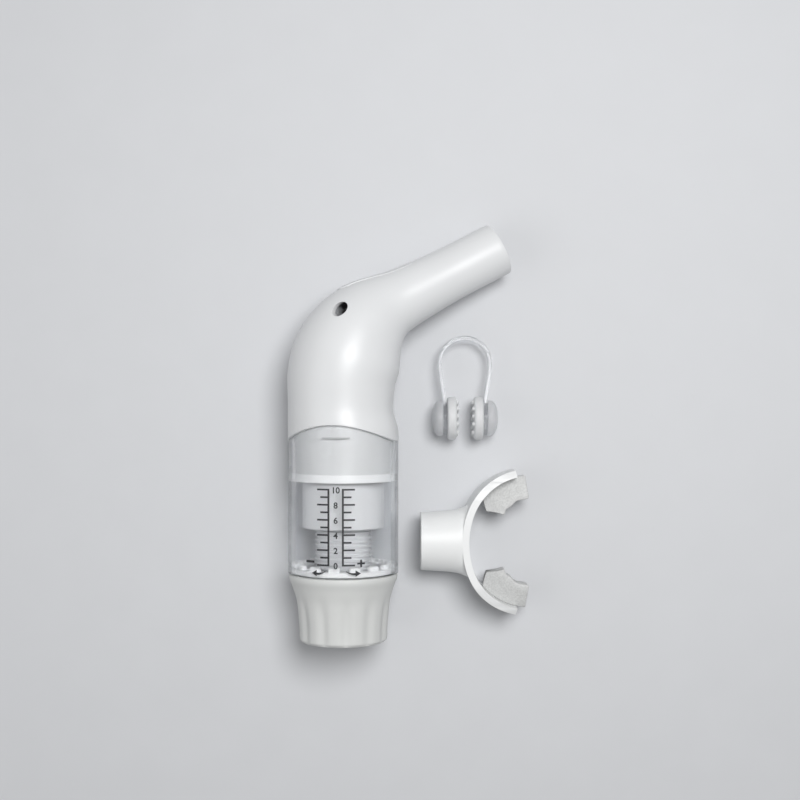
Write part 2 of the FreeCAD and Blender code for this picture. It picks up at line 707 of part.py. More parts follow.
def neck_loft(name, inset):
    """Evenly spaced round sections of the neck, drawn in by `inset`, in one smooth skin."""
    start = number(size.seam_height - size.seam_wave * 2 - size.bend_start)
    end = arc_length(size.bend_angle) + number(size.straight_length - size.tip_length)
    rings = []
    for index in range(SKIN_SECTIONS):
        travel = start + (end - start) * index / (SKIN_SECTIONS - 1)
        centre, ahead = neck_frame(travel)
        ring = bind(doc.addObject("Part::Circle", f"{name}_{index}"),
                    Radius=neck_radius(travel) - inset)
        lean = X_AXIS * neck_lean(travel)
        ring.Placement = Placement(centre + lean, Rotation(Z_AXIS, ahead))
        rings.append(ring)
    loft = doc.addObject("Part::Loft", f"{name}_skin")
    loft.Sections = rings
    loft.Solid = True
    loft.Ruled = False
    tip = bind(doc.addObject("Part::Cylinder", f"{name}_tip"), Radius=size.tip_radius - inset,
               Height=size.tip_length)
    tip.Placement = Placement(straight_place(size.straight_length - size.tip_length),
                              Rotation(Z_AXIS, neck_direction()))
    return fuse(name, loft, tip)


def ridge_slot(name, narrower):
    """A prism over the cover's opening on the ridge, drawn in by `narrower` all round."""
    start, _ = bend_place(size.cover_start, neck_radius(arc_length(size.cover_start)))
    end_travel = arc_length(size.bend_angle) + number(size.cover_end)
    end = straight_place(size.cover_end, neck_radius(end_travel))
    along = (end - start).normalize()
    outward = Y_AXIS.cross(along) * -1
    length = (end - start).Length - 2 * number(narrower)
    half = number(size.cover_width) / 2 - number(narrower)
    depth = number(size.chamber_depth)
    reach = length / 2 - half
    shape = Part.makeBox(reach * 2, half * 2, depth * 2, Vector(-reach, -half, -depth))
    for side in (-reach, reach):
        shape = shape.fuse(Part.makeCylinder(half, depth * 2, Vector(side, 0, -depth)))
    shape = shape.removeSplitter()
    middle = (start + end) * 0.5
    shape.Placement = Placement(middle, Rotation(along, Y_AXIS, outward, "ZXY"))
    return feature(name, shape)


def port_bores():
    """Round exhaust ports through the housing's shoulder, front and rear."""
    centre, outward = bend_place(size.port_station)
    lean = math.radians(number(size.port_lean))
    reach = number(size.shoulder_radius)
    start = reach - number(size.chamber_depth)
    bores = []
    for side in (-1, 1):
        ahead = outward * math.cos(lean) + Y_AXIS * (side * math.sin(lean))
        bores.append(Part.makeCylinder(number(size.port_radius), reach, centre + ahead * start,
                                       ahead))
    return feature("exhaust_ports", Part.makeCompound(bores))


def make_neck_housing(outside, inside):
    skirt_room = cylinder("skirt_room", skirt_bore, size.seam_height - 4 * size.seam_wave,
                          neck_seat)
    bore = cylinder("neck_bore", neck_bore, neck_seat - size.slip,
                    size.neck_bore_top + size.slip)
    seam = seam_block("housing_seam", size.seam_gap / 2)
    ledge = cut("ledge_room", ridge_slot("cover_opening", 0),
                neck_loft("ledge_level", size.cover_inset + size.cover_thickness + size.face_gap))
    opening = ridge_slot("ledge_opening", size.cover_ledge)
    tip_bore = bind(doc.addObject("Part::Cylinder", "tip_bore"),
                    Radius=size.tip_radius - size.neck_wall, Height=size.tip_length)
    tip_bore.Placement = Placement(straight_place(size.straight_length - size.tip_length / 2),
                                   Rotation(Z_AXIS, neck_direction()))
    return cut("neck_housing", outside, inside, skirt_room, bore, tip_bore, seam, ledge, opening,
               port_bores())


def neck_cavity(name, inset):
    """The room inside the neck above its bore, drawn in by `inset`."""
    low = number(size.neck_bore_top)
    wide = number(size.bend_radius) * 4
    above = feature(f"{name}_above", block((-wide, -wide, low), (wide, wide, low + wide)))
    return common(name, neck_loft(f"{name}_whole", inset), above)


# Exhale chamber: floor with the seat, flap, clamp and the cover over it
def chamber_frame():
    """The chamber floor's own frame: X along the floor, Z outwards, origin under the ports."""
    ridge = neck_radius(arc_length(size.port_station))
    start, _ = bend_place(size.port_station, ridge - size.chamber_depth)
    along = neck_direction()
    return Placement(start, Rotation(along, Y_AXIS, Y_AXIS.cross(along) * -1, "ZXY"))


def oblong(length, width, low, high, start):
    """A round-ended plate along X, from its near end at `start`."""
    half = number(width) / 2
    first = number(start) + half
    last = number(start) + number(length) - half
    low = number(low)
    depth = number(high) - low
    shape = Part.makeBox(last - first, half * 2, depth, Vector(first, -half, low))
    for end in (first, last):
        shape = shape.fuse(Part.makeCylinder(half, depth, Vector(end, 0, low)))
    return shape.removeSplitter()


def make_exhale_floor():
    wide = size.shoulder_radius
    plate = block((-1 * size.chamber_back, -1 * wide, -1 * size.chamber_floor),
                  (size.chamber_front, wide, 0))
    wall = number(size.chamber_floor)
    for start in (-1 * number(size.chamber_back), number(size.chamber_front) - wall):
        plate = plate.fuse(block((start, -1 * wide, 0), (start + wall, wide, size.chamber_back)))
    lip_start = size.seat_start - size.flap_margin / 2
    plate = plate.fuse(oblong(size.seat_length + size.flap_margin,
                              size.seat_width + size.flap_margin, 0, size.seat_lip, lip_start))
    seat = oblong(size.seat_length, size.seat_width, -1 * size.chamber_floor, size.seat_lip,
                  size.seat_start)
    bar = number(size.chamber_floor) / 2
    for share in (1 / 3, 2 / 3):
        middle = number(size.seat_start + size.seat_length * share)
        rib = block((middle - bar, -1 * size.seat_width, -1 * size.chamber_floor),
                    (middle + bar, size.seat_width, 0))
        seat = seat.cut(rib)
    plate = plate.cut(seat)
    plate.Placement = chamber_frame()
    room = neck_cavity("floor_room", size.neck_wall + size.slip / 2)
    return common("exhale_floor", feature("floor_plate", plate), room)


def make_exhale_flap():
    low = size.seat_lip + size.face_gap
    length = size.seat_length + size.flap_margin * 2
    shape = oblong(length, size.seat_width + size.flap_margin * 2, low,
                   low + size.flap_thickness, size.seat_start - size.flap_margin)
    flap = feature("exhale_flap", shape)
    flap.Placement = chamber_frame()
    return flap


def make_flap_clamp():
    start = size.seat_start + size.seat_length + size.flap_margin + size.slip
    half = size.seat_width / 2
    shape = block((start, -1 * half, 0),
                  (start + size.clamp_length, half, size.seat_lip + size.flap_thickness * 2))
    clamp = feature("flap_clamp", shape)
    clamp.Placement = chamber_frame()
    return clamp


def make_exhale_cover():
    bottom = size.cover_inset + size.cover_thickness
    top_level = neck_loft("cover_top_level", size.cover_inset)
    plate = cut("cover_plate", common("cover_face", ridge_slot("cover_outline", size.slip),
                                      top_level), neck_loft("cover_bottom_level", bottom))
    # A rim under the plate clips into the opening inside the ledge
    rim_outside = size.cover_ledge + size.slip
    ring = cut("rim_outline", ridge_slot("rim_outside", rim_outside),
               ridge_slot("rim_inside", rim_outside + size.cover_rim))
    rim = cut("cover_rim", common("rim_face", ring, top_level),
              neck_loft("rim_bottom_level", size.neck_wall + size.face_gap))
    # The thumbnail notch is at the cover's upper end
    notch_travel = arc_length(size.bend_angle) + number(size.cover_end)
    notch_place = straight_place(size.cover_end - size.notch_depth, neck_radius(notch_travel))
    half = number(size.notch_width) / 2
    deep = number(size.notch_depth)
    notch = feature("cover_notch", block((-deep, -half, -half), (deep * 2, half, half)))
    outward = Y_AXIS.cross(neck_direction()) * -1
    notch.Placement = Placement(notch_place, Rotation(neck_direction(), Y_AXIS, outward, "ZXY"))
    return cut("exhale_cover", fuse("cover_body", plate, rim), notch)


# Mouthpiece: tube along X from its open end, curved shield and two bite blocks
def ring_sector(radius_in, radius_out, low, high, first, last):
    """A ring sector about Z between two angles."""
    depth = number(high) - number(low)
    base = Vector(0, 0, number(low))
    sector = Part.makeCylinder(number(radius_out), depth, base, Z_AXIS, last - first)
    sector = sector.cut(Part.makeCylinder(number(radius_in), depth, base))
    sector.rotate(ORIGIN, Z_AXIS, first)
    return sector


def make_mouthpiece_body():
    half_height = size.mouth_bore + size.mouth_wall
    tube_end = size.mouth_tube + size.shield_wall
    centre = X_AXIS * number(size.mouth_tube + size.shield_radius)
    tube = Part.makeCylinder(number(half_height), number(tube_end), ORIGIN, X_AXIS)
    span = number(size.shield_span)
    shield = ring_sector(size.shield_radius - size.shield_wall, size.shield_radius,
                         -1 * half_height, half_height, 180 - span, 180 + span)
    shield.translate(centre)
    oval = Part.makeCylinder(1.0, number(size.shield_radius) * 2, ORIGIN, X_AXIS)
    stretch = FreeCAD.Matrix()
    stretch.scale(1.0, number(size.shield_oval), number(size.shield_oval_depth))
    shield = shield.common(oval.transformGeometry(stretch))
    room = Part.makeCylinder(number(size.shield_radius - size.shield_wall),
                             number(half_height) * 2, centre - Z_AXIS * number(half_height))
    socket_depth = size.mouth_tube - size.mouth_wall
    socket = Part.makeCylinder(number(size.mouth_bore), number(socket_depth), ORIGIN, X_AXIS)
    airway = Part.makeCylinder(number(size.mouth_airway), number(tube_end) * 2, ORIGIN, X_AXIS)
    solid = feature("mouth_solid", tube.cut(room).fuse(shield))
    return cut("mouthpiece_body", solid, feature("mouth_socket", socket),
               feature("mouth_airway_bore", airway))


def make_bite_block(name, side):
    outer = size.shield_radius - size.shield_wall - size.face_gap
    inner = outer - size.bite_width
    if side > 0:
        first, last = 180 - number(size.bite_end), 180 - number(size.bite_start)
    else:
        first, last = 180 + number(size.bite_start), 180 + number(size.bite_end)
    plate = ring_sector(inner, outer, size.bite_plate / -2, size.bite_plate / 2, first, last)
    edge = ring_sector(inner, inner + size.bite_edge, size.bite_edge_height / -2,
                       size.bite_edge_height / 2, first, last)
    pieces = []
    for label, shape in (("plate", plate), ("edge", edge)):
        shape.translate(X_AXIS * number(size.mouth_tube + size.shield_radius))
        pieces.append(feature(f"{name}_{label}", shape))
    return fuse(name, *pieces)


# Nose clip: bow and legs in the XY plane, pads centred on X, the bow towards +Y
def make_clip_bow():
    half = number(size.bow_width) / 2
    outer = number(size.bow_radius)
    inner = outer - number(size.bow_thickness)
    top = number(size.bow_centre)
    leg_in = number(size.leg_gap)
    leg_out = leg_in + number(size.bow_thickness)
    straight = number(size.leg_straight)
    arch = ring_sector(inner, outer, -half, half, 0, 180)
    arch.translate(Y_AXIS * top)
    corners = [(outer, top), (leg_out, straight), (leg_out, 0), (leg_in, 0), (leg_in, straight),
               (inner, top)]
    outline = [Vector(x, y, -half) for x, y in corners]
    leg = Part.Face(Part.makePolygon(outline + outline[:1])).extrude(Z_AXIS * half * 2)
    disc = Part.makeCylinder(number(size.leg_disc_radius), leg_out - leg_in,
                             Vector(leg_in, 0, 0), X_AXIS)
    side = leg.fuse(disc)
    shape = arch.fuse([side, side.mirror(ORIGIN, X_AXIS)]).removeSplitter()
    return feature("clip_bow", shape)


# The grip's dome as shares of its radius and its height
GRIP_DOME = [(1.0, 0.0), (1.0, 0.3), (0.86, 0.72), (0.5, 0.95)]


def make_clip_grip(name, side):
    low = size.leg_gap + size.bow_thickness + size.face_gap
    high = low + size.grip_height
    dome = turned(name, [(0, low)] + [
        (size.grip_radius * across, low + size.grip_height * up) for across, up in GRIP_DOME
    ] + [(0, high)])
    dome.Placement = Placement(ORIGIN, Rotation(Z_AXIS, X_AXIS * side))
    return dome


def make_clip_pad(name, side):
    """A soft round pad with rows of small studs on its inner face."""
    face = number(size.leg_gap - size.face_gap)
    thickness = number(size.pad_thickness)
    reach = number(size.pad_radius) - number(size.stud_pitch) / 2
    disc = Part.makeCylinder(number(size.pad_radius), thickness)
    rim = number(size.pad_thickness) / 4
    disc = disc.makeFillet(rim, [edge for edge in disc.Edges if edge.Closed])
    pitch = number(size.stud_pitch)
    rows = int(reach // pitch)
    studs = []
    for row in range(-rows, rows + 1):
        for column in range(-rows, rows + 1):
            if math.hypot(row, column) * pitch > reach:
                continue
            base = Vector(row * pitch, column * pitch, thickness - rim)
            height = rim + number(size.stud_height)
            studs.append(Part.makeCone(number(size.stud_radius), number(size.stud_tip_radius),
                                       height, base))
    shape = disc.fuse(studs)
    pad = feature(name, shape)
    pad.Placement = Placement(X_AXIS * (side * face), Rotation(Z_AXIS, X_AXIS * -side))
    return pad


# All pieces, and where each group lies
def trainer_pose():
    """Lays the trainer on its sleeve and rolls it until the neck's tip rests too."""
    tip = straight_place(size.straight_length)
    sink = number(size.sleeve_radius - size.tip_radius) / tip.x
    roll = math.degrees(math.asin(sink))
    lying = Rotation(X_AXIS, -90).multiply(Rotation(Z_AXIS, roll))
    return Placement(Vector(0, 0, number(size.sleeve_radius)), lying)


def mouthpiece_pose():
    height = size.mouth_bore + size.mouth_wall
    place = Vector(number(size.mouth_side), number(size.mouth_along), number(height))
    return Placement(place, Rotation())


def clip_pose():
    """The clip lies on its pads' rims and on the edge of its bow."""
    drop = number(size.pad_radius - size.bow_width / 2)
    reach = number(size.bow_centre + size.bow_radius)
    tilt = math.degrees(math.asin(drop / reach))
    place = Vector(number(size.clip_side), number(size.clip_along), number(size.pad_radius))
    return Placement(place, Rotation(X_AXIS, -tilt))


trainer = [
    make_knob(), make_knob_cap(), make_drive_socket(), make_socket_screw(), make_clear_sleeve(),
    make_inner_frame(), make_carriage(), make_lead_screw(), make_stem_retainer(),
    make_valve_insert(), make_poppet(), make_poppet_seal(), make_load_spring(),
    make_neck_oring(),
    make_neck_housing(neck_loft("housing_outside", 0),
                      neck_cavity("housing_inside", size.neck_wall)),
    make_exhale_floor(), make_exhale_flap(), make_flap_clamp(), make_exhale_cover(),
]
mouthpiece = [
    make_mouthpiece_body(), make_bite_block("bite_block_upper", 1),
    make_bite_block("bite_block_lower", -1),
]
nose_clip = [
    make_clip_bow(), make_clip_grip("clip_grip_left", -1), make_clip_grip("clip_grip_right", 1),
    make_clip_pad("clip_pad_left", -1), make_clip_pad("clip_pad_right", 1),
]
pieces = trainer + mouthpiece + nose_clip
doc.recompute()
for obj in doc.Objects:
    if "Invalid" in obj.State or "Error" in obj.State:
        raise RuntimeError(f"{obj.Name} failed: {obj.State}")

for group, pose in ((trainer, trainer_pose()), (mouthpiece, mouthpiece_pose()),
                    (nose_clip, clip_pose())):
    for piece in group:
        piece.Label = piece.Name
        piece.Placement = pose.multiply(piece.Placement)

# The origin is on the floor under the middle of everything that lies there
MESH_ERROR = 0.05
whole = FreeCAD.BoundBox()
for piece in pieces:
    for point in piece.Shape.tessellate(MESH_ERROR)[0]:
        whole.add(point)
to_origin = Placement(Vector(-whole.Center.x, -whole.Center.y, 0), Rotation())
for piece in pieces:
    piece.Placement = to_origin.multiply(piece.Placement)

os.makedirs("parts", exist_ok=True)
for piece in pieces:
    if piece.Shape.isNull() or not piece.Shape.isValid():
        raise RuntimeError(f"{piece.Label} has no valid shape")
for piece in pieces:
    piece.Shape.exportStep(f"parts/{piece.Label}.step")
    print(piece.Label, len(piece.Shape.Solids), round(piece.Shape.Volume, 1))
print("barrel axis", [round(item, 3) for item in trainer[0].Placement.Base])
print("size", round(whole.XLength, 2), round(whole.YLength, 2), round(whole.ZLength, 2))
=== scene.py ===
# %% [markdown]
# # A breathing trainer, its mouthpiece and its nose clip
# The construction comes as a fixed frame of solids at their real size. This lesson dresses it:
# the outer pieces are modelled again as smooth meshes in the place of their solids, and every
# piece gets a finish made of nodes. The inner frame, the carriage, the screw and the hidden
# valve parts keep their solids. The frame is loaded before anything else, because the pieces'
# places are read from it.

# %% Load the frame
import json
import math

import bpy
from mathutils import Matrix, Vector


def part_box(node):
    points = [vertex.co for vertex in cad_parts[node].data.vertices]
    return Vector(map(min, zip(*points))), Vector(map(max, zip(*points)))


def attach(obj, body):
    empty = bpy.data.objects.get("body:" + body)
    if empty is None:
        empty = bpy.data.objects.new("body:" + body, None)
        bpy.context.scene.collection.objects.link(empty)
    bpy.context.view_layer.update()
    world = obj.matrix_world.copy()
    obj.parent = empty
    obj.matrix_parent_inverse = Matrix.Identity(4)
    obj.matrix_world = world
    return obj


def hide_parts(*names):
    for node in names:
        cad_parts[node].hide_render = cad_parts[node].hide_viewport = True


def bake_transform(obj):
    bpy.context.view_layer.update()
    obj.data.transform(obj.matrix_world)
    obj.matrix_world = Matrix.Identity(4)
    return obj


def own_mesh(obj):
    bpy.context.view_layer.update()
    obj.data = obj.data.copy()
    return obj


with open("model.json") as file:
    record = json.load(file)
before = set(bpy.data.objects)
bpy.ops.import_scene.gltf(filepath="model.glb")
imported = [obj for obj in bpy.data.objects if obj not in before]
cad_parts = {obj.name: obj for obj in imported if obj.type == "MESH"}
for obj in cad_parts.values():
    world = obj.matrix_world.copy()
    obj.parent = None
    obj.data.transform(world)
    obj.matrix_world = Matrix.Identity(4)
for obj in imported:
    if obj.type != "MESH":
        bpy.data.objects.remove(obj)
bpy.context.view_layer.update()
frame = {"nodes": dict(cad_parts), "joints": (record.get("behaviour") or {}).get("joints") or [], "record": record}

# %% [markdown]
# ## Where the pieces lie
# The trainer is easiest to model upright, with its barrel along Z, and in millimetres. A matrix
# then lays it down: it holds the barrel's place, the small roll that lets the neck's tip touch
# the floor, and the step from millimetres to metres. The mouthpiece and the nose clip get a
# matrix each in the same way. All three come from the frame, so nothing is fitted by eye.

# %% Read the places from the frame
MM = 0.001
FLOOR = 0.0
mounts = {mount["name"]: mount for mount in frame["record"]["mounts"]}
joints = {joint["name"]: joint for joint in frame["joints"]}


def centre_of(node):
    low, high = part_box(node)
    return (low + high) / 2


def laid(base, x_way, y_way, z_way):
    """The matrix that takes a piece's own millimetres to its place in the frame."""
    turn = Matrix((x_way, y_way, z_way)).transposed().to_4x4()
    return Matrix.Translation(base) @ turn @ Matrix.Scale(MM, 4)


outlet_way = Vector(mounts["neck_outlet"]["axis"])
ROLL = math.atan2(-outlet_way.z, outlet_way.x)
BEND = math.acos(outlet_way.y)
barrel_base = centre_of("knob_cap")
barrel_base.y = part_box("knob")[0].y
TRAINER = laid(barrel_base, Vector((math.cos(ROLL), 0, -math.sin(ROLL))),
               Vector((-math.sin(ROLL), 0, -math.cos(ROLL))), Vector((0, 1, 0)))
mouth_base = centre_of("mouthpiece_body")
mouth_base.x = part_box("mouthpiece_body")[0].x
MOUTHPIECE = laid(mouth_base, Vector((1, 0, 0)), Vector((0, 1, 0)), Vector((0, 0, 1)))
clip_up = Vector(joints["clip_open"]["axis"])
clip_base = (centre_of("clip_pad_left") + centre_of("clip_pad_right")) / 2
CLIP = laid(clip_base, Vector((1, 0, 0)), clip_up.cross(Vector((1, 0, 0))), clip_up)
print("barrel base", barrel_base, "roll", round(math.degrees(ROLL), 2),
      "bend", round(math.degrees(BEND), 2))

# %% [markdown]
# ## The camera
# The photo looks straight down on the object as it lies, with the barrel's end towards the
# bottom of the picture. The camera therefore hangs above the floor with no turn at all. Its
# height and its lens are chosen together so that the picture is as wide as the photo is.

# %% Hang the camera over the object
CAMERA_HEIGHT = 0.584
CAMERA_SIDE = -0.0037
CAMERA_ALONG = 0.0137
LENS = 57.3

bpy.ops.object.camera_add(location=(CAMERA_SIDE, CAMERA_ALONG, CAMERA_HEIGHT), rotation=(0, 0, 0))
camera = bpy.context.object
camera.name = "overhead_camera"
camera.data.lens = LENS
bpy.context.scene.camera = camera
print("camera hangs", CAMERA_HEIGHT, "m over the floor with a lens of", LENS, "mm")

# %% [markdown]
# ## Finishes
# Nearly everything here is moulded plastic. Real mouldings are never one flat colour: the tone
# drifts a little, and the surface has a very fine grain that breaks up the gloss. Each small
# helper adds one part of that node tree, so that every finish is a short list of them. The
# textures read Object coordinates, because each finished mesh sits at the origin.

# %% Parts that every finish shares
TONE_SPAN = (0.3, 0.7)


def new_finish(name):
    """A node material and the output that gives a point's own place."""
    material = bpy.data.materials.new(name)
    material.use_nodes = True
    place = material.node_tree.nodes.new("ShaderNodeTexCoord")
    return material, place.outputs["Object"]


def shader_of(material):
    return material.node_tree.nodes["Principled BSDF"]


def noise(material, place, scale, detail):
    """A cloudy pattern: the higher the scale, the finer it is."""
    cloud = material.node_tree.nodes.new("ShaderNodeTexNoise")
    cloud.inputs["Scale"].default_value = scale
    cloud.inputs["Detail"].default_value = detail
    material.node_tree.links.new(place, cloud.inputs["Vector"])
    return cloud.outputs["Fac"]


def drift_tone(material, pattern, dark, light):
    """Lets the colour drift between two tones."""
    tone = material.node_tree.nodes.new("ShaderNodeValToRGB")
    for element, position, colour in zip(tone.color_ramp.elements, TONE_SPAN, (dark, light)):
        element.position = position
        element.color = (*colour, 1)
    material.node_tree.links.new(pattern, tone.inputs["Fac"])
    material.node_tree.links.new(tone.outputs["Color"], shader_of(material).inputs["Base Color"])


def lift_surface(material, pattern, strength, distance):
    lift = material.node_tree.nodes.new("ShaderNodeBump")
    lift.inputs["Strength"].default_value = strength
    lift.inputs["Distance"].default_value = distance
    material.node_tree.links.new(pattern, lift.inputs["Height"])
    material.node_tree.links.new(lift.outputs["Normal"], shader_of(material).inputs["Normal"])


def ranged(material, pattern, low, high, socket):
    """Sends a pattern to a socket of the shader, as a value from `low` to `high`."""
    span = material.node_tree.nodes.new("ShaderNodeMapRange")
    span.inputs["To Min"].default_value = low
    span.inputs["To Max"].default_value = high
    material.node_tree.links.new(pattern, span.inputs["Value"])
    material.node_tree.links.new(span.outputs["Result"], shader_of(material).inputs[socket])


# %% Build a moulded finish
GRAIN_DEPTH = 0.0002
GLOSS_DRIFT = 0.15


def moulded(name, colour, drift=0.02, gloss=0.4, grain=3500.0, bump=0.05, drift_scale=45.0):
    """A plastic whose tone drifts by `drift` and whose fine grain lifts the surface by `bump`."""
    material, place = new_finish(name)
    cloud = noise(material, place, drift_scale, detail=4.0)
    drift_tone(material, cloud, [c * (1 - drift) for c in colour],
               [min(1.0, c * (1 + drift)) for c in colour])
    lift_surface(material, noise(material, place, grain, detail=3.0), bump, GRAIN_DEPTH)
    ranged(material, cloud, gloss * (1 - GLOSS_DRIFT), gloss * (1 + GLOSS_DRIFT), "Roughness")
    return material


# %% [markdown]
# Clear plastic is harder. A fully clear shell stops the lamps' shadow rays, so what it covers
# turns dark. Here the shell is part see-through and part refracting: straight on it hardly
# shows, and towards its edges, where the wall is seen at length, it grows denser. A ray that
# slips through a wall's outer face unbent is thrown back at its inner face if the plastic
# bends light much, and that leaves a hard line. So the thick-walled sleeve bends it very little.

# %% Build a clear finish
RIPPLE_DEPTH = 0.0003
RIPPLE_TONE = 0.96
RIPPLE_GLOSS = 0.2
RIM_BLEND = 0.35


def clear(name, colour, facing, edge, gloss, transmission=1.0, grain=900.0, bump=0.02, bend=1.49):
    """A clear plastic that is `facing` dense straight on and `edge` dense along its rims."""
    material, place = new_finish(name)
    shader_of(material).inputs["Transmission Weight"].default_value = transmission
    shader_of(material).inputs["IOR"].default_value = bend
    cloud = noise(material, place, grain, detail=3.0)
    drift_tone(material, cloud, [c * RIPPLE_TONE for c in colour], colour)
    lift_surface(material, cloud, bump, RIPPLE_DEPTH)
    ranged(material, cloud, gloss * (1 - RIPPLE_GLOSS), gloss * (1 + RIPPLE_GLOSS), "Roughness")
    rim = material.node_tree.nodes.new("ShaderNodeLayerWeight")
    rim.inputs["Blend"].default_value = RIM_BLEND
    ranged(material, rim.outputs["Facing"], facing, edge, "Alpha")
    return material


# %% [markdown]
# The wire of the spring and the small screw are drawn steel with a fine grain. The bite blocks
# are a soft elastomer with a clearly mottled face. The mottle is drawn twice, as a change of
# tone and as a bump half its size, so that it shows on lit and on shaded sides. Soft materials
# also let the light in a little: the radius is multiplied by the shader's own scale of 0.05, so
# two millimetres here are a tenth of a millimetre on the piece.

# %% Steel and soft finishes
SOFT_RADIUS = 0.002


def drawn_steel():
    material = moulded("drawn_steel", (0.56, 0.57, 0.58), 0.06, 0.28, 2600.0, 0.12, 900.0)
    shader_of(material).inputs["Metallic"].default_value = 1.0
    return material


def softened(material, weight):
    """Scatters light under the surface of a soft material."""
    shader_of(material).inputs["Subsurface Weight"].default_value = weight
    shader_of(material).inputs["Subsurface Radius"].default_value = (SOFT_RADIUS,) * 3
    return material


# %% [markdown]
# The inner frame is one white moulding. Its collar is painted darker, as painted shade, and the
# band at the collar's foot and all below it are painted brighter, as painted light. A mix between
# two whites at one height gives that, and a short fade keeps the step soft.

# %% The inner frame's white, with painted light and shade
BAND_TOP = 73.8
BAND_FADE = 0.3
BAND_PAINTED_LIGHT = (0.84, 0.85, 0.86, 1.0)


def banded_frame():
    """The inner frame's white: painted shade on the collar, painted light from its foot band down."""
    material = moulded("frame_white", (0.64, 0.65, 0.66), 0.015, 0.38, 3800.0, 0.04)
    nodes, links = material.node_tree.nodes, material.node_tree.links
    base = shader_of(material).inputs["Base Color"]
    tone = base.links[0].from_socket
    place = nodes.new("ShaderNodeTexCoord")
    split = nodes.new("ShaderNodeSeparateXYZ")
    links.new(place.outputs["Object"], split.inputs["Vector"])
    edge = nodes.new("ShaderNodeMapRange")
    edge.inputs["From Min"].default_value = barrel_base.y + BAND_TOP * MM
    edge.inputs["From Max"].default_value = barrel_base.y + (BAND_TOP - BAND_FADE) * MM
    links.new(split.outputs["Y"], edge.inputs["Value"])
    blend = nodes.new("ShaderNodeMix")
    blend.data_type = "RGBA"
    links.new(edge.outputs["Result"], blend.inputs["Factor"])
    links.new(tone, blend.inputs["A"])
    # Painted light: the band and all below it get a brighter white than the shaded collar.
    blend.inputs["B"].default_value = BAND_PAINTED_LIGHT
    links.new(blend.outputs["Result"], base)
    return material


# %% [markdown]
# Now each finish is made once, under the name of what it covers. After its colour, a moulded
# one has its drift, its gloss, the scale of its grain and the height of its bump. A clear one
# has its density straight on and at its rims, and then its gloss.

# %% Make the finishes
housing_white = moulded("housing_white", (0.74, 0.75, 0.76), 0.012, 0.36, 4200.0, 0.03)
knob_white = moulded("knob_white", (0.66, 0.67, 0.66), 0.02, 0.5, 5200.0, 0.10)
frame_white = banded_frame()
inner_white = moulded("inner_white", (0.72, 0.73, 0.75), 0.015, 0.36, 3800.0, 0.03)
mouth_white = moulded("mouth_white", (0.84, 0.85, 0.85), 0.01, 0.42, 3600.0, 0.04)
sleeve_clear = clear("sleeve_clear", (0.93, 0.95, 0.97), 0.09, 0.85, 0.05, bend=1.08)
bow_clear = clear("bow_clear", (0.86, 0.88, 0.91), 0.35, 0.97, 0.07)
clip_frosted = clear("clip_frosted", (0.90, 0.91, 0.93), 0.60, 0.97, 0.4, 0.45, 1400.0, 0.25)
pad_frosted = clear("pad_frosted", (0.93, 0.94, 0.95), 0.86, 0.99, 0.5, 0.2, 1100.0, 0.3)
bite_soft = softened(moulded("bite_elastomer", (0.60, 0.605, 0.60), 0.12, 0.55, 2600.0, 0.35,
                             drift_scale=1300.0), weight=0.15)
silicone = softened(moulded("soft_silicone", (0.66, 0.67, 0.68), 0.04, 0.45, 1800.0, 0.1,
                            drift_scale=120.0), weight=0.2)
steel = drawn_steel()
ink = moulded("scale_ink", (0.028, 0.029, 0.032), 0.25, 0.5, 5000.0, 0.08, 1500.0)
dash_grey = moulded("dash_grey", (0.42, 0.43, 0.44), 0.1, 0.5, 3000.0, 0.05)
# Painted shade: near black for the exhale floor and the flap's clamp, so the ports read dark.
port_painted_shade = moulded("port_painted_shade", (0.10, 0.10, 0.11), 0.1, 0.6, 3000.0, 0.05)
print("finishes made:", len(bpy.data.materials))

# %% [markdown]
# ## Modelling helpers
# Most pieces are round, so most of them start as one ring of vertices that is grown: extruded,
# moved and resized, again and again, as a lathe hand would follow a profile. The helpers keep
# to that. Everything is deselected before a primitive is added, since an operator works on all
# that is selected.

# %% Grow rings
SAME = 1e-9
MERGE = 0.0001


def clear_selection():
    if bpy.context.object and bpy.context.object.mode != "OBJECT":
        bpy.ops.object.mode_set(mode="OBJECT")
    bpy.ops.object.select_all(action="DESELECT")


def pick(piece):
    clear_selection()
    piece.select_set(True)
    bpy.context.view_layer.objects.active = piece


def first_ring(name, radius, centre=(0, 0, 0), sides=96):
    """A ring of vertices in edit mode, ready to be grown."""
    clear_selection()
    bpy.ops.mesh.primitive_circle_add(vertices=sides, radius=radius, location=centre)
    piece = bpy.context.object
    piece.name = name
    bpy.ops.object.transform_apply(location=True, rotation=True, scale=True)
    bpy.ops.object.mode_set(mode="EDIT")
    bpy.ops.mesh.select_all(action="SELECT")
    return piece


def next_ring(move, factor, about):
    """Extrudes the selected ring, moves it, and resizes it about its new centre."""
    bpy.ops.mesh.extrude_region_move()
    bpy.ops.transform.translate(value=move)
    if abs(factor - 1) > SAME:
        bpy.ops.transform.resize(value=(factor, factor, factor), center_override=about)


def tidy_edit():
    """Merges doubles and points the faces outwards, then leaves edit mode."""
    bpy.ops.mesh.select_all(action="SELECT")
    bpy.ops.mesh.remove_doubles(threshold=MERGE)
    bpy.ops.mesh.normals_make_consistent(inside=False)
    bpy.ops.object.mode_set(mode="OBJECT")


def turned(name, profile, sides=96, closed=True):
    """A ring grown along (radius, height) points, back to its start if the profile is closed."""
    radius, height = profile[0]
    piece = first_ring(name, radius, (0, 0, height), sides)
    if not closed:
        bpy.ops.mesh.edge_face_add()
    steps = list(profile[1:]) + ([profile[0]] if closed else [])
    for new_radius, new_height in steps:
        next_ring((0, 0, new_height - height), new_radius / radius, (0, 0, new_height))
        radius, height = new_radius, new_height
    tidy_edit()
    return piece


# %% [markdown]
# Sharp moulded edges are never quite sharp. A bevel modifier rounds them, and it is applied at
# once, so that the mesh which is kept is the mesh that is seen. Cuts are boolean modifiers.

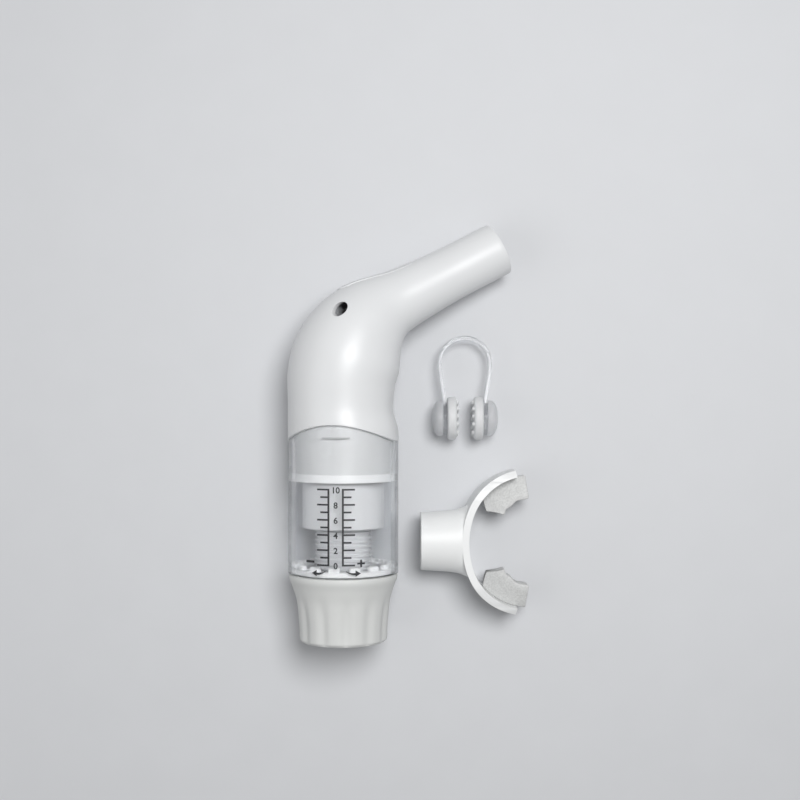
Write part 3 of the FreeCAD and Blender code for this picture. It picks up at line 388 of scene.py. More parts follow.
# %% Modifiers
def apply_modifier(piece, kind, **settings):
    pick(piece)
    modifier = piece.modifiers.new(kind.title(), kind)
    for key, value in settings.items():
        setattr(modifier, key, value)
    bpy.ops.object.modifier_apply(modifier=modifier.name)
    return piece


def rounded(piece, width, steps=2, angle=30.0):
    return apply_modifier(piece, "BEVEL", width=width, segments=steps, limit_method="ANGLE",
                          angle_limit=math.radians(angle), use_clamp_overlap=True)


def combined(piece, tool, operation):
    """A boolean with a tool that is used up."""
    apply_modifier(piece, "BOOLEAN", object=tool, operation=operation, solver="EXACT")
    bpy.data.objects.remove(tool)
    return piece


def carved(piece, tool):
    return combined(piece, tool, "DIFFERENCE")


# %% [markdown]
# A piece is finished in one way everywhere: laid into the frame, smoothed except at its real
# edges, given its material and its slot, and told which body it moves with.

# %% Finish a piece
def place_piece(piece, matrix):
    piece.data.transform(matrix @ piece.matrix_world)
    piece.matrix_world = Matrix.Identity(4)
    return piece


def finish_piece(piece, matrix, material, body, nodes=(), angle=35.0):
    place_piece(piece, matrix)
    pick(piece)
    bpy.ops.object.shade_smooth_by_angle(angle=math.radians(angle))
    piece.data.materials.clear()
    piece.data.materials.append(material)
    if body:
        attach(piece, body)
    if nodes:
        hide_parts(*nodes)
    print(piece.name, "has", len(piece.data.polygons), "faces")
    return piece


# %% [markdown]
# ## The neck housing
# The neck is the trainer's largest form: an upright cylinder with a slight waist, a shoulder,
# a bend, and a straight tube. Its radius changes smoothly all the way. It could be a curve with
# a bevel, but then its waist would not lean. Growing a ring along the bend keeps full control:
# every ring gets the radius and the lean that belong to its place.

# %% The neck's line and radius
NECK_WALL = 2.2
SEAM_HEIGHT = 91.2
SEAM_WAVE = 3.6
SEAM_GAP = 0.35
SEAM_TURN = math.radians(-109.0)
BEND_START = 112.4
BEND_RADIUS = 40.0
STRAIGHT_LENGTH = 54.6
TIP_LENGTH = 20.0
TIP_RADIUS = mounts["neck_outlet"]["dims"]["r_mm"]
LIP_RADIUS = 24.3
WAIST_RADIUS = 23.1
WAIST_HEIGHT = 102.0
WAIST_LEAN = -1.2
SHOULDER_RADIUS = 24.1
LEAN_END = math.radians(32.0)
SHOULDER_TURN = math.radians(14.0)
CROWN_RADIUS = 22.5
CROWN_TURN = math.radians(29.9)
THROAT_RADIUS = 19.5
THROAT_TURN = math.radians(44.2)
ELBOW_RADIUS = 14.6
TAPER_ALONG = 12.1
TAPER_RADIUS = 13.0
BEND_TRAVEL = BEND_RADIUS * BEND
END_TRAVEL = BEND_TRAVEL + STRAIGHT_LENGTH
print("the neck's line is", round(END_TRAVEL, 1), "mm long after its bend starts")


def eased(places, values, at):
    """A smooth curve through values at growing places, flat beyond both ends."""
    if at <= places[0]:
        return values[0]
    if at >= places[-1]:
        return values[-1]
    index = max(i for i in range(len(places) - 1) if places[i] <= at)
    span = places[index + 1] - places[index]
    share = (at - places[index]) / span
    result = values[index] * (2 * share ** 3 - 3 * share ** 2 + 1)
    result += values[index + 1] * (3 * share ** 2 - 2 * share ** 3)
    slopes = {index: share ** 3 - 2 * share ** 2 + share, index + 1: share ** 3 - share ** 2}
    for knot, weight in slopes.items():
        if 0 < knot < len(places) - 1:
            rise = (values[knot + 1] - values[knot - 1]) / (places[knot + 1] - places[knot - 1])
            result += rise * span * weight
    return result


def neck_radius(travel):
    """The outer radius at a distance along the neck from the start of its bend."""
    straight = STRAIGHT_LENGTH - TIP_LENGTH
    places = [SEAM_HEIGHT - BEND_START, WAIST_HEIGHT - BEND_START, BEND_RADIUS * SHOULDER_TURN,
              BEND_RADIUS * CROWN_TURN, BEND_RADIUS * THROAT_TURN, BEND_TRAVEL,
              BEND_TRAVEL + TAPER_ALONG, BEND_TRAVEL + straight]
    values = [LIP_RADIUS, WAIST_RADIUS, SHOULDER_RADIUS, CROWN_RADIUS, THROAT_RADIUS,
              ELBOW_RADIUS, TAPER_RADIUS, TIP_RADIUS]
    return eased(places, values, travel)


def neck_lean(travel):
    places = [SEAM_HEIGHT - BEND_START, WAIST_HEIGHT - BEND_START, BEND_RADIUS * LEAN_END]
    return eased(places, [0.0, WAIST_LEAN, 0.0], travel)


def neck_place(travel):
    """Centre and turn of the neck at a distance along it."""
    if travel <= 0:
        return Vector((0, 0, BEND_START + travel)), 0.0
    turn = min(travel / BEND_RADIUS, BEND)
    place = Vector((BEND_RADIUS * (1 - math.cos(turn)), 0,
                    BEND_START + BEND_RADIUS * math.sin(turn)))
    along = Vector((math.sin(turn), 0, math.cos(turn)))
    return place + along * max(0.0, travel - BEND_TRAVEL), turn


def seam_level(angle):
    return SEAM_WAVE * math.cos(2 * (angle - SEAM_TURN))


# %% [markdown]
# The skin is grown as a single surface and gets its wall from Solidify. Its lower rim is then
# lifted into the saddle wave of the seam, and the lift fades out towards the waist.

# %% Grow the neck's skin
NECK_RINGS = 70
NECK_SIDES = 128


def neck_skin(name, inset, wall, start=SEAM_HEIGHT - BEND_START, end=END_TRAVEL, wavy=True):
    """The neck's skin from `inset` under its surface, `wall` thick."""
    centre, turn = neck_place(start)
    radius = neck_radius(start) - inset
    piece = first_ring(name, radius, centre + Vector((neck_lean(start), 0, 0)), NECK_SIDES)
    about = centre  # the first ring's own lean is carried along by all the others
    for index in range(1, NECK_RINGS + 1):
        travel = start + (end - start) * index / NECK_RINGS
        new_centre, new_turn = neck_place(travel)
        new_radius = neck_radius(travel) - inset
        new_about = new_centre + Vector((neck_lean(travel), 0, 0))
        bpy.ops.mesh.extrude_region_move()
        if abs(new_turn - turn) > SAME:
            bpy.ops.transform.rotate(value=turn - new_turn, orient_axis="Y",
                                     center_override=about)
        bpy.ops.transform.translate(value=new_about - about)
        factor = new_radius / radius
        bpy.ops.transform.resize(value=(factor, factor, factor), center_override=new_about)
        about, turn, radius = new_about, new_turn, new_radius
    tidy_edit()
    if wavy:
        lift_rim(piece, inset)
    apply_modifier(piece, "SOLIDIFY", thickness=wall, offset=-1.0, use_even_offset=True)
    return piece


def lift_rim(piece, inset):
    """Raises the lower rim into the seam's wave, less and less up to the waist."""
    room = WAIST_HEIGHT - SEAM_HEIGHT
    for vertex in piece.data.vertices:
        level = vertex.co.z
        if level > WAIST_HEIGHT:
            continue
        lean = neck_lean(level - BEND_START)
        angle = math.atan2(vertex.co.y, vertex.co.x - lean)
        fade = (WAIST_HEIGHT - level) / room
        new_level = level + (seam_level(angle) + SEAM_GAP / 2) * fade
        new_radius = neck_radius(new_level - BEND_START) - inset
        new_lean = neck_lean(new_level - BEND_START)
        vertex.co = (new_lean + new_radius * math.cos(angle), new_radius * math.sin(angle),
                     new_level)


# %% [markdown]
# The opening for the exhale cover lies along the ridge, from the shoulder to the straight. Its
# outline is a round-ended oblong, made from one ring whose halves are pulled apart. The same
# outline, drawn in a little, later cuts the cover itself, so the two always match.

# %% The cover's oblong
COVER_START = math.radians(44.0)
COVER_END = 18.3
COVER_WIDTH = 10.0
COVER_INSET = 0.4
COVER_THICKNESS = 1.1
COVER_LEDGE = 1.2
LEDGE_PLAY = 0.05
LEDGE_ABOVE = 1.0
COVER_SLIP = 0.2
OBLONG_REACH = 11.0
NOTCH_WIDTH = 4.0
NOTCH_DEPTH = 1.2


def ridge_place(travel):
    centre, turn = neck_place(travel)
    outward = Vector((-math.cos(turn), 0, math.sin(turn)))
    return centre + outward * neck_radius(travel)


ridge_first = ridge_place(BEND_RADIUS * COVER_START)
ridge_last = ridge_place(BEND_TRAVEL + COVER_END)
ridge_along = (ridge_last - ridge_first).normalized()
ridge_out = Vector((-ridge_along.z, 0, ridge_along.x))
RIDGE = Matrix.Translation((ridge_first + ridge_last) / 2) @ Matrix(
    (ridge_along, Vector((0, 1, 0)), ridge_out)).transposed().to_4x4()


def oblong(name, narrower, low, high):
    """A round-ended prism over the ridge, drawn in by `narrower` all round."""
    half = COVER_WIDTH / 2 - narrower
    reach = (ridge_last - ridge_first).length / 2 - narrower - half
    piece = first_ring(name, half, (0, 0, low), 48)
    bpy.ops.mesh.edge_face_add()
    bpy.ops.mesh.extrude_region_move()
    bpy.ops.transform.translate(value=(0, 0, high - low))
    tidy_edit()
    for vertex in piece.data.vertices:
        vertex.co.x += math.copysign(reach, vertex.co.x)
    piece.data.transform(RIDGE)
    return piece


# %% [markdown]
# Two round exhaust ports go through the shoulder, one on each side of the ridge. They are cut
# square to the barrel and not to the bend, as a mould's sliding pins would do it. Their rims
# catch the light in the photo, so the cut edges are rounded afterwards.

# %% Make a cutter for the ports
PORT_RADIUS = 3.25
PORT_TURN = math.radians(36.2)
PORT_LEAN = math.radians(48.0)
PORT_REACH = 9.0


def port_cutter(side):
    travel = BEND_RADIUS * PORT_TURN
    centre, turn = neck_place(travel)
    sideways = Vector((0, side * math.sin(PORT_LEAN), 0))
    outward = Vector((-math.cos(turn), 0, math.sin(turn)))
    surface = centre + (outward * math.cos(PORT_LEAN) + sideways) * neck_radius(travel)
    ahead = Vector((-math.cos(PORT_LEAN), 0, 0)) + sideways
    piece = first_ring(f"port_cutter_{side}", PORT_RADIUS, (0, 0, -PORT_REACH), 48)
    bpy.ops.mesh.edge_face_add()
    bpy.ops.mesh.extrude_region_move()
    bpy.ops.transform.translate(value=(0, 0, PORT_REACH * 2))
    tidy_edit()
    piece.data.transform(Matrix.Translation(surface) @ ahead.to_track_quat("Z", "Y")
                         .to_matrix().to_4x4())
    return piece


# %% Build the housing
def build_housing():
    housing = neck_skin("neck_shell", 0.0, NECK_WALL)
    depth = LEDGE_ABOVE + COVER_INSET + COVER_THICKNESS + LEDGE_PLAY
    recess = neck_skin("ledge_room", -LEDGE_ABOVE, depth, start=0.0, wavy=False)
    combined(recess, oblong("ledge_outline", 0.0, -OBLONG_REACH, OBLONG_REACH), "INTERSECT")
    carved(housing, recess)
    carved(housing, oblong("ledge_opening", COVER_LEDGE, -OBLONG_REACH, OBLONG_REACH))
    for side in (-1, 1):
        carved(housing, port_cutter(side))
    rounded(housing, width=0.22, angle=40.0)
    return finish_piece(housing, TRAINER, housing_white, "neck",
                        ["neck_housing"])


build_housing()

# %% [markdown]
# The cover is a patch of the same skin, a little lower and thinner, cut out by the same oblong.
# A block carves a thumbnail's notch from its upper end.

# %% Build the cover
def thumb_notch():
    """A block over the cover's upper end, where a thumbnail lifts it."""
    end = (ridge_last - ridge_first).length / 2 - COVER_SLIP
    clear_selection()
    bpy.ops.mesh.primitive_cube_add(size=1.0)
    notch = bpy.context.object
    notch.data.transform(RIDGE @ Matrix.Translation((end, 0, 0))
                         @ Matrix.Diagonal((NOTCH_DEPTH * 2, NOTCH_WIDTH, OBLONG_REACH, 1)))
    return notch


def build_cover():
    cover = neck_skin("vent_cover", COVER_INSET, COVER_THICKNESS, start=0.0, wavy=False)
    combined(cover, oblong("cover_outline", COVER_SLIP, -OBLONG_REACH, OBLONG_REACH), "INTERSECT")
    carved(cover, thumb_notch())
    rounded(cover, width=0.18, angle=40.0)
    return finish_piece(cover, TRAINER, housing_white, "exhale_cover",
                        ["exhale_cover"])


build_cover()

# %% [markdown]
# ## The knob
# The knob is a tapered cup with a matt surface and twelve broad, shallow scallops for the
# fingers. Carving the scallops with cutters would leave hard lines. They are soft on the real
# one, so the vertices of the outer wall are drawn in along a squared cosine instead.

# %% Build the knob
KNOB_HEIGHT = (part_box("knob")[1].y - barrel_base.y) / MM
CAP_HOLE = 8.2
CAP_RECESS = 4.5
SCREW_HOLE = 1.65
BOSS_RADIUS = 11.0
BOSS_HEIGHT = 8.0
KNOB_FLOOR = 3.0
HOOK_ROOM = 20.7
LEDGE_RADIUS = 20.0
LEDGE_HEIGHT = 25.5
HOOK_BOTTOM = 22.8
KNOB_WALL = 2.0
KNOB_HEIGHTS = [1.2, 17.6, 24.2, 28.4]
KNOB_RADII = [19.4, 20.6, 22.3, 23.8]
KNOB_STEPS = 24
KNOB_LIP = 0.3
KNOB_SKIN = 0.6
SCALLOPS = 12
SCALLOP_SIDES = 14
SCALLOP_DEPTH = 0.8
SCALLOP_TOP = 23.5
SCALLOP_HEIGHTS = [0.0, 2.0, 14.0, SCALLOP_TOP]
SCALLOP_SHARES = [0.55, 1.0, 1.0, 0.0]


def knob_radius(height):
    return eased(KNOB_HEIGHTS, KNOB_RADII, height)


def knob_profile():
    """From the cap's hole out, up the outer wall, over the rim and down inside."""
    first, last = KNOB_HEIGHTS[0], KNOB_HEIGHTS[-1]
    wall = []
    for index in range(KNOB_STEPS + 1):
        height = first + (last - first) * index / KNOB_STEPS
        wall.append((knob_radius(height), height))
    return [(CAP_HOLE, 0.0), (KNOB_RADII[0] - first, 0.0)] + wall + [
        (KNOB_RADII[-1] - KNOB_LIP, KNOB_HEIGHT), (LEDGE_RADIUS, KNOB_HEIGHT),
        (LEDGE_RADIUS, LEDGE_HEIGHT), (HOOK_ROOM, LEDGE_HEIGHT), (HOOK_ROOM, HOOK_BOTTOM),
        (KNOB_RADII[1] - KNOB_WALL, KNOB_HEIGHTS[1]), (KNOB_RADII[0] - KNOB_WALL, KNOB_FLOOR),
        (BOSS_RADIUS, KNOB_FLOOR), (BOSS_RADIUS, BOSS_HEIGHT), (SCREW_HOLE, BOSS_HEIGHT),
        (SCREW_HOLE, CAP_RECESS), (CAP_HOLE, CAP_RECESS),
    ]


def build_knob():
    knob = turned("grip_knob", knob_profile(), SCALLOPS * SCALLOP_SIDES)
    rounded(knob, width=0.4, steps=3, angle=25.0)
    for vertex in knob.data.vertices:
        radius = math.hypot(vertex.co.x, vertex.co.y)
        height = vertex.co.z
        if radius < knob_radius(height) - KNOB_SKIN or height > SCALLOP_TOP:
            continue
        angle = math.atan2(vertex.co.y, vertex.co.x) - SEAM_TURN
        dip = (0.5 - 0.5 * math.cos(SCALLOPS * angle)) ** 2
        fade = eased(SCALLOP_HEIGHTS, SCALLOP_SHARES, height)
        drawn = (radius - SCALLOP_DEPTH * dip * fade) / radius
        vertex.co.x *= drawn
        vertex.co.y *= drawn
    return finish_piece(knob, TRAINER, knob_white, "knob", ["knob"])


build_knob()

# %% [markdown]
# ## The clear sleeve
# The barrel's sleeve is a plain tube whose top edge follows the same wave as the neck's rim, a
# hair's breadth below it. Under the seam a short dash is pressed into the front. The sleeve is
# what makes the scale float above the white parts, so its wall keeps its true thickness. What
# is pressed or printed on it is made flat, as bars cut in slices, and then bent round it.

# %% Bend flat pieces round the barrel
sleeve_low, sleeve_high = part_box("clear_sleeve")
SLEEVE_RADIUS = (sleeve_high.z - sleeve_low.z) / 2 / MM
SLEEVE_BOTTOM = (sleeve_low.y - barrel_base.y) / MM
PRINT_TURN = math.radians(-95.2) - ROLL


def wrap(piece, radius):
    """Bends a flat piece, X across and Z up, round the barrel at the printed scale's place."""
    for vertex in piece.data.vertices:
        angle = PRINT_TURN + vertex.co.x / radius
        reach = radius - vertex.co.y
        vertex.co = (reach * math.cos(angle), reach * math.sin(angle), vertex.co.z)
    return piece


def bar(name, length, height, low, high, level, slices=24):
    """A flat bar, `length` across, cut in slices so that it can bend."""
    clear_selection()
    bpy.ops.mesh.primitive_cube_add(size=1.0, location=(0, (low + high) / 2, level))
    piece = bpy.context.object
    piece.name = name
    piece.scale = (length, high - low, height)
    bpy.ops.object.transform_apply(location=True, rotation=True, scale=True)
    bpy.ops.object.mode_set(mode="EDIT")
    for index in range(1, slices):
        bpy.ops.mesh.select_all(action="SELECT")
        bpy.ops.mesh.bisect(plane_co=(length * (index / slices - 0.5), 0, 0),
                            plane_no=(1, 0, 0))
    bpy.ops.object.mode_set(mode="OBJECT")
    return piece


# %% Build the sleeve
SLEEVE_WALL = 1.5
SLEEVE_SIDES = 160
SLEEVE_FOOT = 1.0
SLEEVE_LEVELS = [45.0, 60.0, 72.0, 80.0, 84.0, 86.0]
DASH_LENGTH = 12.5
DASH_WIDTH = 0.7
DASH_DEPTH = 0.45
DASH_HEIGHT = 89.5
DASH_ABOVE = 0.5


def build_sleeve():
    sleeve = first_ring("barrel_sleeve", SLEEVE_RADIUS, (0, 0, SLEEVE_BOTTOM), SLEEVE_SIDES)
    height = SLEEVE_BOTTOM
    for level in [SLEEVE_BOTTOM + SLEEVE_FOOT] + SLEEVE_LEVELS + [SEAM_HEIGHT]:
        next_ring((0, 0, level - height), 1.0, (0, 0, level))
        height = level
    tidy_edit()
    for vertex in sleeve.data.vertices:
        if vertex.co.z > SEAM_HEIGHT - SEAM_GAP:
            angle = math.atan2(vertex.co.y, vertex.co.x)
            vertex.co.z += seam_level(angle) - SEAM_GAP / 2
    apply_modifier(sleeve, "SOLIDIFY", thickness=SLEEVE_WALL, offset=-1.0, use_even_offset=True)
    groove = bar("dash_groove", DASH_LENGTH, DASH_WIDTH, -DASH_ABOVE, DASH_DEPTH, DASH_HEIGHT)
    carved(sleeve, wrap(groove, SLEEVE_RADIUS))
    rounded(sleeve, width=0.25, angle=50.0)
    return finish_piece(sleeve, TRAINER, sleeve_clear, "root", ["clear_sleeve"])


build_sleeve()

# %% [markdown]
# In the photo the dash reads as a grey line, because its walls are in shade. A groove in a clear
# wall would hardly show, so a thin grey strip lies on its floor.

# %% Shade the dash
DASH_PLAY = 0.05


def build_dash():
    strip = bar("pressed_dash", DASH_LENGTH - DASH_PLAY * 4, DASH_WIDTH - DASH_PLAY * 4,
                DASH_DEPTH - DASH_PLAY * 3, DASH_DEPTH - DASH_PLAY, DASH_HEIGHT)
    wrap(strip, SLEEVE_RADIUS)
    return finish_piece(strip, TRAINER, dash_grey, "root", angle=30.0)


build_dash()

# %% [markdown]
# ## The printed scale
# The scale is ink on the sleeve: two upright lines with a tick on each level, plain numbers
# between them, a minus and a plus at the foot, and two arrows for the way to turn. Each mark is
# a flat mesh that is wrapped round the barrel and sits two hundredths of a millimetre proud.

# %% Print the lines
SCALE_ZERO = 35.9
SCALE_STEP = 3.19
LEVELS = 11
LINE_SIDE = 3.08
LINE_WIDTH = 0.85
TICK_WIDTH = 0.75
LONG_TICK = 5.15
SHORT_TICK = 3.65
INK_LIFT = 0.02
INK_DEPTH = 0.03


def mark(name, across, level, length, height, slices=8):
    """One printed bar centred `across` millimetres round the barrel at `level`."""
    piece = bar(name, length, height, -INK_LIFT, INK_DEPTH - INK_LIFT, level, slices)
    piece.data.transform(Matrix.Translation((across, 0, 0)))
    return piece


def joined(name, parts):
    clear_selection()
    for part in parts:
        part.select_set(True)
    bpy.context.view_layer.objects.active = parts[0]
    bpy.ops.object.join()
    parts[0].name = name
    return parts[0]


def print_on_sleeve(piece):
    wrap(piece, SLEEVE_RADIUS)
    return finish_piece(piece, TRAINER, ink, "root", angle=30.0)


def scale_lines():
    height = SCALE_STEP * (LEVELS - 1) + TICK_WIDTH
    middle = SCALE_ZERO + SCALE_STEP * (LEVELS - 1) / 2
    parts = []
    for side in (-1, 1):
        parts.append(mark("line", side * LINE_SIDE, middle, LINE_WIDTH, height, 2))
        for level in range(LEVELS):
            length = LONG_TICK if level % 2 == 0 else SHORT_TICK
            across = side * (LINE_SIDE + length / 2)
            parts.append(mark("tick", across, SCALE_ZERO + SCALE_STEP * level, length, TICK_WIDTH))
    return print_on_sleeve(joined("scale_lines", parts))


scale_lines()

# %% [markdown]
# The numbers are Blender's own plain letters, turned into a mesh before they are placed, so
# that they can be wrapped like the rest.

# %% Print the numbers and signs
NUMBER_SIZE = 3.6
NUMBER_WEIGHT = 0.09
NUMBER_DROP = 0.4
MINUS_SIDE = -11.6
MINUS_LEVEL = 37.2
MINUS_LENGTH = 4.2
MINUS_WIDTH = 1.05
PLUS_SIDE = 10.9
PLUS_LEVEL = 36.6
PLUS_LENGTH = 3.4
PLUS_WIDTH = 0.8
PLUS_HEIGHT = 3.2
PLUS_UPRIGHT = 0.85


def scale_number(value):
    clear_selection()
    bpy.ops.object.text_add(location=(0, 0, 0))
    piece = bpy.context.object
    piece.name = f"scale_number_{value}"
    piece.data.body = str(value)
    piece.data.size = NUMBER_SIZE
    piece.data.align_x = "CENTER"
    piece.data.align_y = "CENTER"
    piece.data.extrude = INK_DEPTH / 2
    piece.data.offset = NUMBER_WEIGHT
    piece.data.resolution_u = 6
    bpy.ops.object.convert(target="MESH")
    piece = bpy.context.object
    upright = Matrix.Rotation(math.radians(90), 4, "X")
    level = SCALE_ZERO + SCALE_STEP * value - NUMBER_DROP
    piece.data.transform(Matrix.Translation((0, INK_DEPTH / 2 - INK_LIFT, level)) @ upright)
    return print_on_sleeve(piece)


for value in range(0, LEVELS, 2):
    scale_number(value)
print_on_sleeve(mark("minus_sign", MINUS_SIDE, MINUS_LEVEL, MINUS_LENGTH, MINUS_WIDTH))
plus = [mark("plus_across", PLUS_SIDE, PLUS_LEVEL, PLUS_LENGTH, PLUS_WIDTH),
        mark("plus_up", PLUS_SIDE, PLUS_LEVEL, PLUS_UPRIGHT, PLUS_HEIGHT, 2)]
print_on_sleeve(joined("plus_sign", plus))

# %% [markdown]
# The two arrows at the foot of the scale sag like a smile and grow wider towards their heads.
# A curve could be given that taper, but short overlapping bars are as good at this size and are
# bent round the barrel like the rest. The head is a flat cylinder of three sides.

# %% Print the arrows
ARROW_START = 4.4
ARROW_END = 8.6
ARROW_LEVEL = 33.3
ARROW_SAG = 1.1
ARROW_STEPS = 10
ARROW_SWEEP = 0.62 * math.pi
ARROW_THIN = 0.35
ARROW_GROWTH = 0.6
ARROW_LAP = 1.08
ARROW_HEAD = 1.55
ARROW_HEAD_OUT = 0.4
ARROW_HEAD_LIFT = 0.15


def turning_arrow(name, side):
    """A sagging stroke with a flared head at its outer end."""
    length = (ARROW_END - ARROW_START) / ARROW_STEPS * ARROW_LAP
    parts = []
    for index in range(ARROW_STEPS):
        share = (index + 0.5) / ARROW_STEPS
        across = ARROW_START + (ARROW_END - ARROW_START) * share
        level = ARROW_LEVEL - ARROW_SAG * math.sin(ARROW_SWEEP * share)
        width = ARROW_THIN + ARROW_GROWTH * share
        parts.append(mark("stroke", side * across, level, length, width, 2))
    clear_selection()
    bpy.ops.mesh.primitive_cylinder_add(vertices=3, radius=ARROW_HEAD, depth=INK_DEPTH,
                                        location=(0, INK_DEPTH / 2 - INK_LIFT, 0),
                                        rotation=(math.radians(90), 0, 0))
    head = bpy.context.object
    bpy.ops.object.transform_apply(location=True, rotation=True, scale=True)
    across = side * (ARROW_END + ARROW_HEAD * ARROW_HEAD_OUT)
    level = ARROW_LEVEL - ARROW_SAG * math.sin(ARROW_SWEEP) + ARROW_HEAD_LIFT
    head.data.transform(Matrix.Translation((across, 0, level))
                        @ Matrix.Rotation(math.radians(90 * side), 4, "Y"))
    parts.append(head)
    return print_on_sleeve(joined(name, parts))


turning_arrow("turn_arrow_down", -1)
turning_arrow("turn_arrow_up", 1)

# %% [markdown]
# ## The load spring
# The spring between the carriage and the valve's seat is one coil of wire. It is drawn as a
# helix and given a round section. The real coil shortens towards its upper end when the knob
# winds the carriage up; this one is drawn at a single length.

# %% Wind the spring
spring_low, spring_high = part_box("load_spring")
SPRING_WIRE = 0.8
SPRING_TURNS = 9.0
SPRING_STEPS = 40


def build_spring():
    radius = (spring_high.z - spring_low.z) / 2 / MM - SPRING_WIRE
    low = (spring_low.y - barrel_base.y) / MM + SPRING_WIRE
    high = (spring_high.y - barrel_base.y) / MM - SPRING_WIRE
    curve = bpy.data.curves.new("load_coil", "CURVE")
    curve.dimensions = "3D"
    curve.bevel_depth = SPRING_WIRE
    curve.bevel_resolution = 3
    curve.use_fill_caps = True
    count = int(SPRING_TURNS * SPRING_STEPS) + 1
    spline = curve.splines.new("POLY")
    spline.points.add(count - 1)
    for index, point in enumerate(spline.points):
        angle = 2 * math.pi * index / SPRING_STEPS
        point.co = (radius * math.cos(angle), radius * math.sin(angle),
                    low + (high - low) * index / (count - 1), 1.0)
    piece = bpy.data.objects.new("load_coil", curve)
    bpy.context.scene.collection.objects.link(piece)
    pick(piece)
    bpy.ops.object.convert(target="MESH")
    piece = bpy.context.object
    finish_piece(piece, TRAINER, steel, "root", ["load_spring"], 60.0)
    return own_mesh(piece)


build_spring()

# %% [markdown]
# ## The mouthpiece
# A short tube slips over the neck's end and carries a curved shield that sits between lips and
# teeth. Seen from above, the shield is a thick C. The C is spun from its cross-section about
# the centre of the curve, and its ends and edges are then rounded off by an oval cutter. The
# tube widens softly where it meets the shield, so its last rings are drawn out sideways and
# follow the shield's face.

# %% Spin and draw the mouthpiece's forms
mouth_low, mouth_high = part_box("mouthpiece_body")
MOUTH_BORE = mounts["mouthpiece_socket"]["dims"]["r_mm"]
MOUTH_RADIUS = (mouth_high.z - mouth_low.z) / 2 / MM
SOCKET_DEPTH = mounts["mouthpiece_socket"]["dims"]["length_mm"]
MOUTH_TUBE = 16.2
AIRWAY_RADIUS = 9.0
SHIELD_RADIUS = 32.6
SHIELD_WALL = 3.0
SHIELD_SPAN = math.radians(78.0)
SHIELD_FORWARD = 2.0
SHIELD_FORWARD_REACH = 34.0
SHIELD_OVAL = 36.0
SHIELD_OVAL_DEPTH = 15.5
SHIELD_STEPS = 72


def spun(name, corners, first, last, steps, centre):
    """A cross-section in the XZ plane, spun about the upright axis through `centre`."""
    clear_selection()
    bpy.ops.mesh.primitive_circle_add(vertices=len(corners), fill_type="NGON")
    piece = bpy.context.object
    piece.name = name
    for vertex, (across, level) in zip(piece.data.vertices, corners):
        vertex.co = (centre.x + across, centre.y, level)
    piece.data.transform(Matrix.Translation(centre) @ Matrix.Rotation(first, 4, "Z")
                         @ Matrix.Translation(-centre))
    bpy.ops.object.mode_set(mode="EDIT")
    bpy.ops.mesh.select_all(action="SELECT")
    bpy.ops.mesh.spin(steps=steps, angle=first - last, center=centre, axis=(0, 0, 1))
    tidy_edit()
    return piece


def tube_along_x(name, profile, sides=96):
    """Rings of (radius, distance) grown along X into a closed solid."""
    piece = turned(name, profile, sides, closed=False)
    piece.data.transform(Matrix.Rotation(math.radians(90), 4, "Y"))
    return piece


def forward(level):
    """How far the shield's middle is drawn away from the tube, fading out towards its ends."""
    share = min(1.0, abs(level) / SHIELD_FORWARD_REACH)
    return SHIELD_FORWARD * math.cos(math.pi / 2 * share) ** 2


def shield_face(across):
    """The distance of the shield's outer face from the tube's open end."""
    return MOUTH_TUBE + SHIELD_RADIUS - math.sqrt(SHIELD_RADIUS ** 2 - across ** 2) + forward(across)


# %% Build the mouthpiece body
TUBE_EDGE = 0.35
TUBE_STEPS = 20
TUBE_INTO_WALL = 0.6
FLARE_PLACES = [0.0, 8.0, 14.5]
FLARES = [0.0, 0.4, 1.2, 3.6]


def build_shield():
    """A spun wall, rounded off by an oval and then drawn forward in its middle."""
    inner, outer = SHIELD_RADIUS - SHIELD_WALL, SHIELD_RADIUS
    half = MOUTH_RADIUS
    section = [(inner, -half), (outer, -half), (outer, half), (inner, half)]
    shield = spun("mouth_shield", section, math.pi - SHIELD_SPAN, math.pi + SHIELD_SPAN,
                  SHIELD_STEPS, Vector((MOUTH_TUBE + SHIELD_RADIUS, 0, 0)))
    oval = tube_along_x("shield_oval", [(1.0, -1.0), (1.0, SHIELD_RADIUS * 2)], 128)
    for vertex in oval.data.vertices:
        vertex.co.y *= SHIELD_OVAL
        vertex.co.z *= SHIELD_OVAL_DEPTH
    combined(shield, oval, "INTERSECT")
    for vertex in shield.data.vertices:
        vertex.co.x += forward(vertex.co.y)
    return shield


def build_flared_tube():
    tube_end = MOUTH_TUBE + SHIELD_FORWARD + SHIELD_WALL * TUBE_INTO_WALL
    rings = [(MOUTH_RADIUS - TUBE_EDGE, 0.0), (MOUTH_RADIUS, TUBE_EDGE)]
    for index in range(1, TUBE_STEPS + 1):
        rings.append((MOUTH_RADIUS, TUBE_EDGE + (tube_end - TUBE_EDGE) * index / TUBE_STEPS))
    tube = tube_along_x("mouth_tube", rings)
    for vertex in tube.data.vertices:
        flare = eased(FLARE_PLACES + [tube_end], FLARES, vertex.co.x)
        vertex.co.y *= 1 + flare / MOUTH_RADIUS
        share = eased([0.0, FLARE_PLACES[1], tube_end], [0.0, 0.0, 1.0], vertex.co.x)
        vertex.co.x += (shield_face(vertex.co.y) - shield_face(0.0)) * share
    return tube


def build_mouthpiece():
    body = combined(build_shield(), build_flared_tube(), "UNION")
    carved(body, tube_along_x("mouth_socket", [(MOUTH_BORE, -1.0), (MOUTH_BORE, SOCKET_DEPTH)]))
    carved(body, tube_along_x("mouth_airway", [(AIRWAY_RADIUS, -1.0),
                                                (AIRWAY_RADIUS, MOUTH_TUBE * 2)]))
    rounded(body, width=0.6, steps=3, angle=40.0)
    return finish_piece(body, MOUTHPIECE, mouth_white, "mouthpiece",
                        ["mouthpiece_body"])


build_mouthpiece()

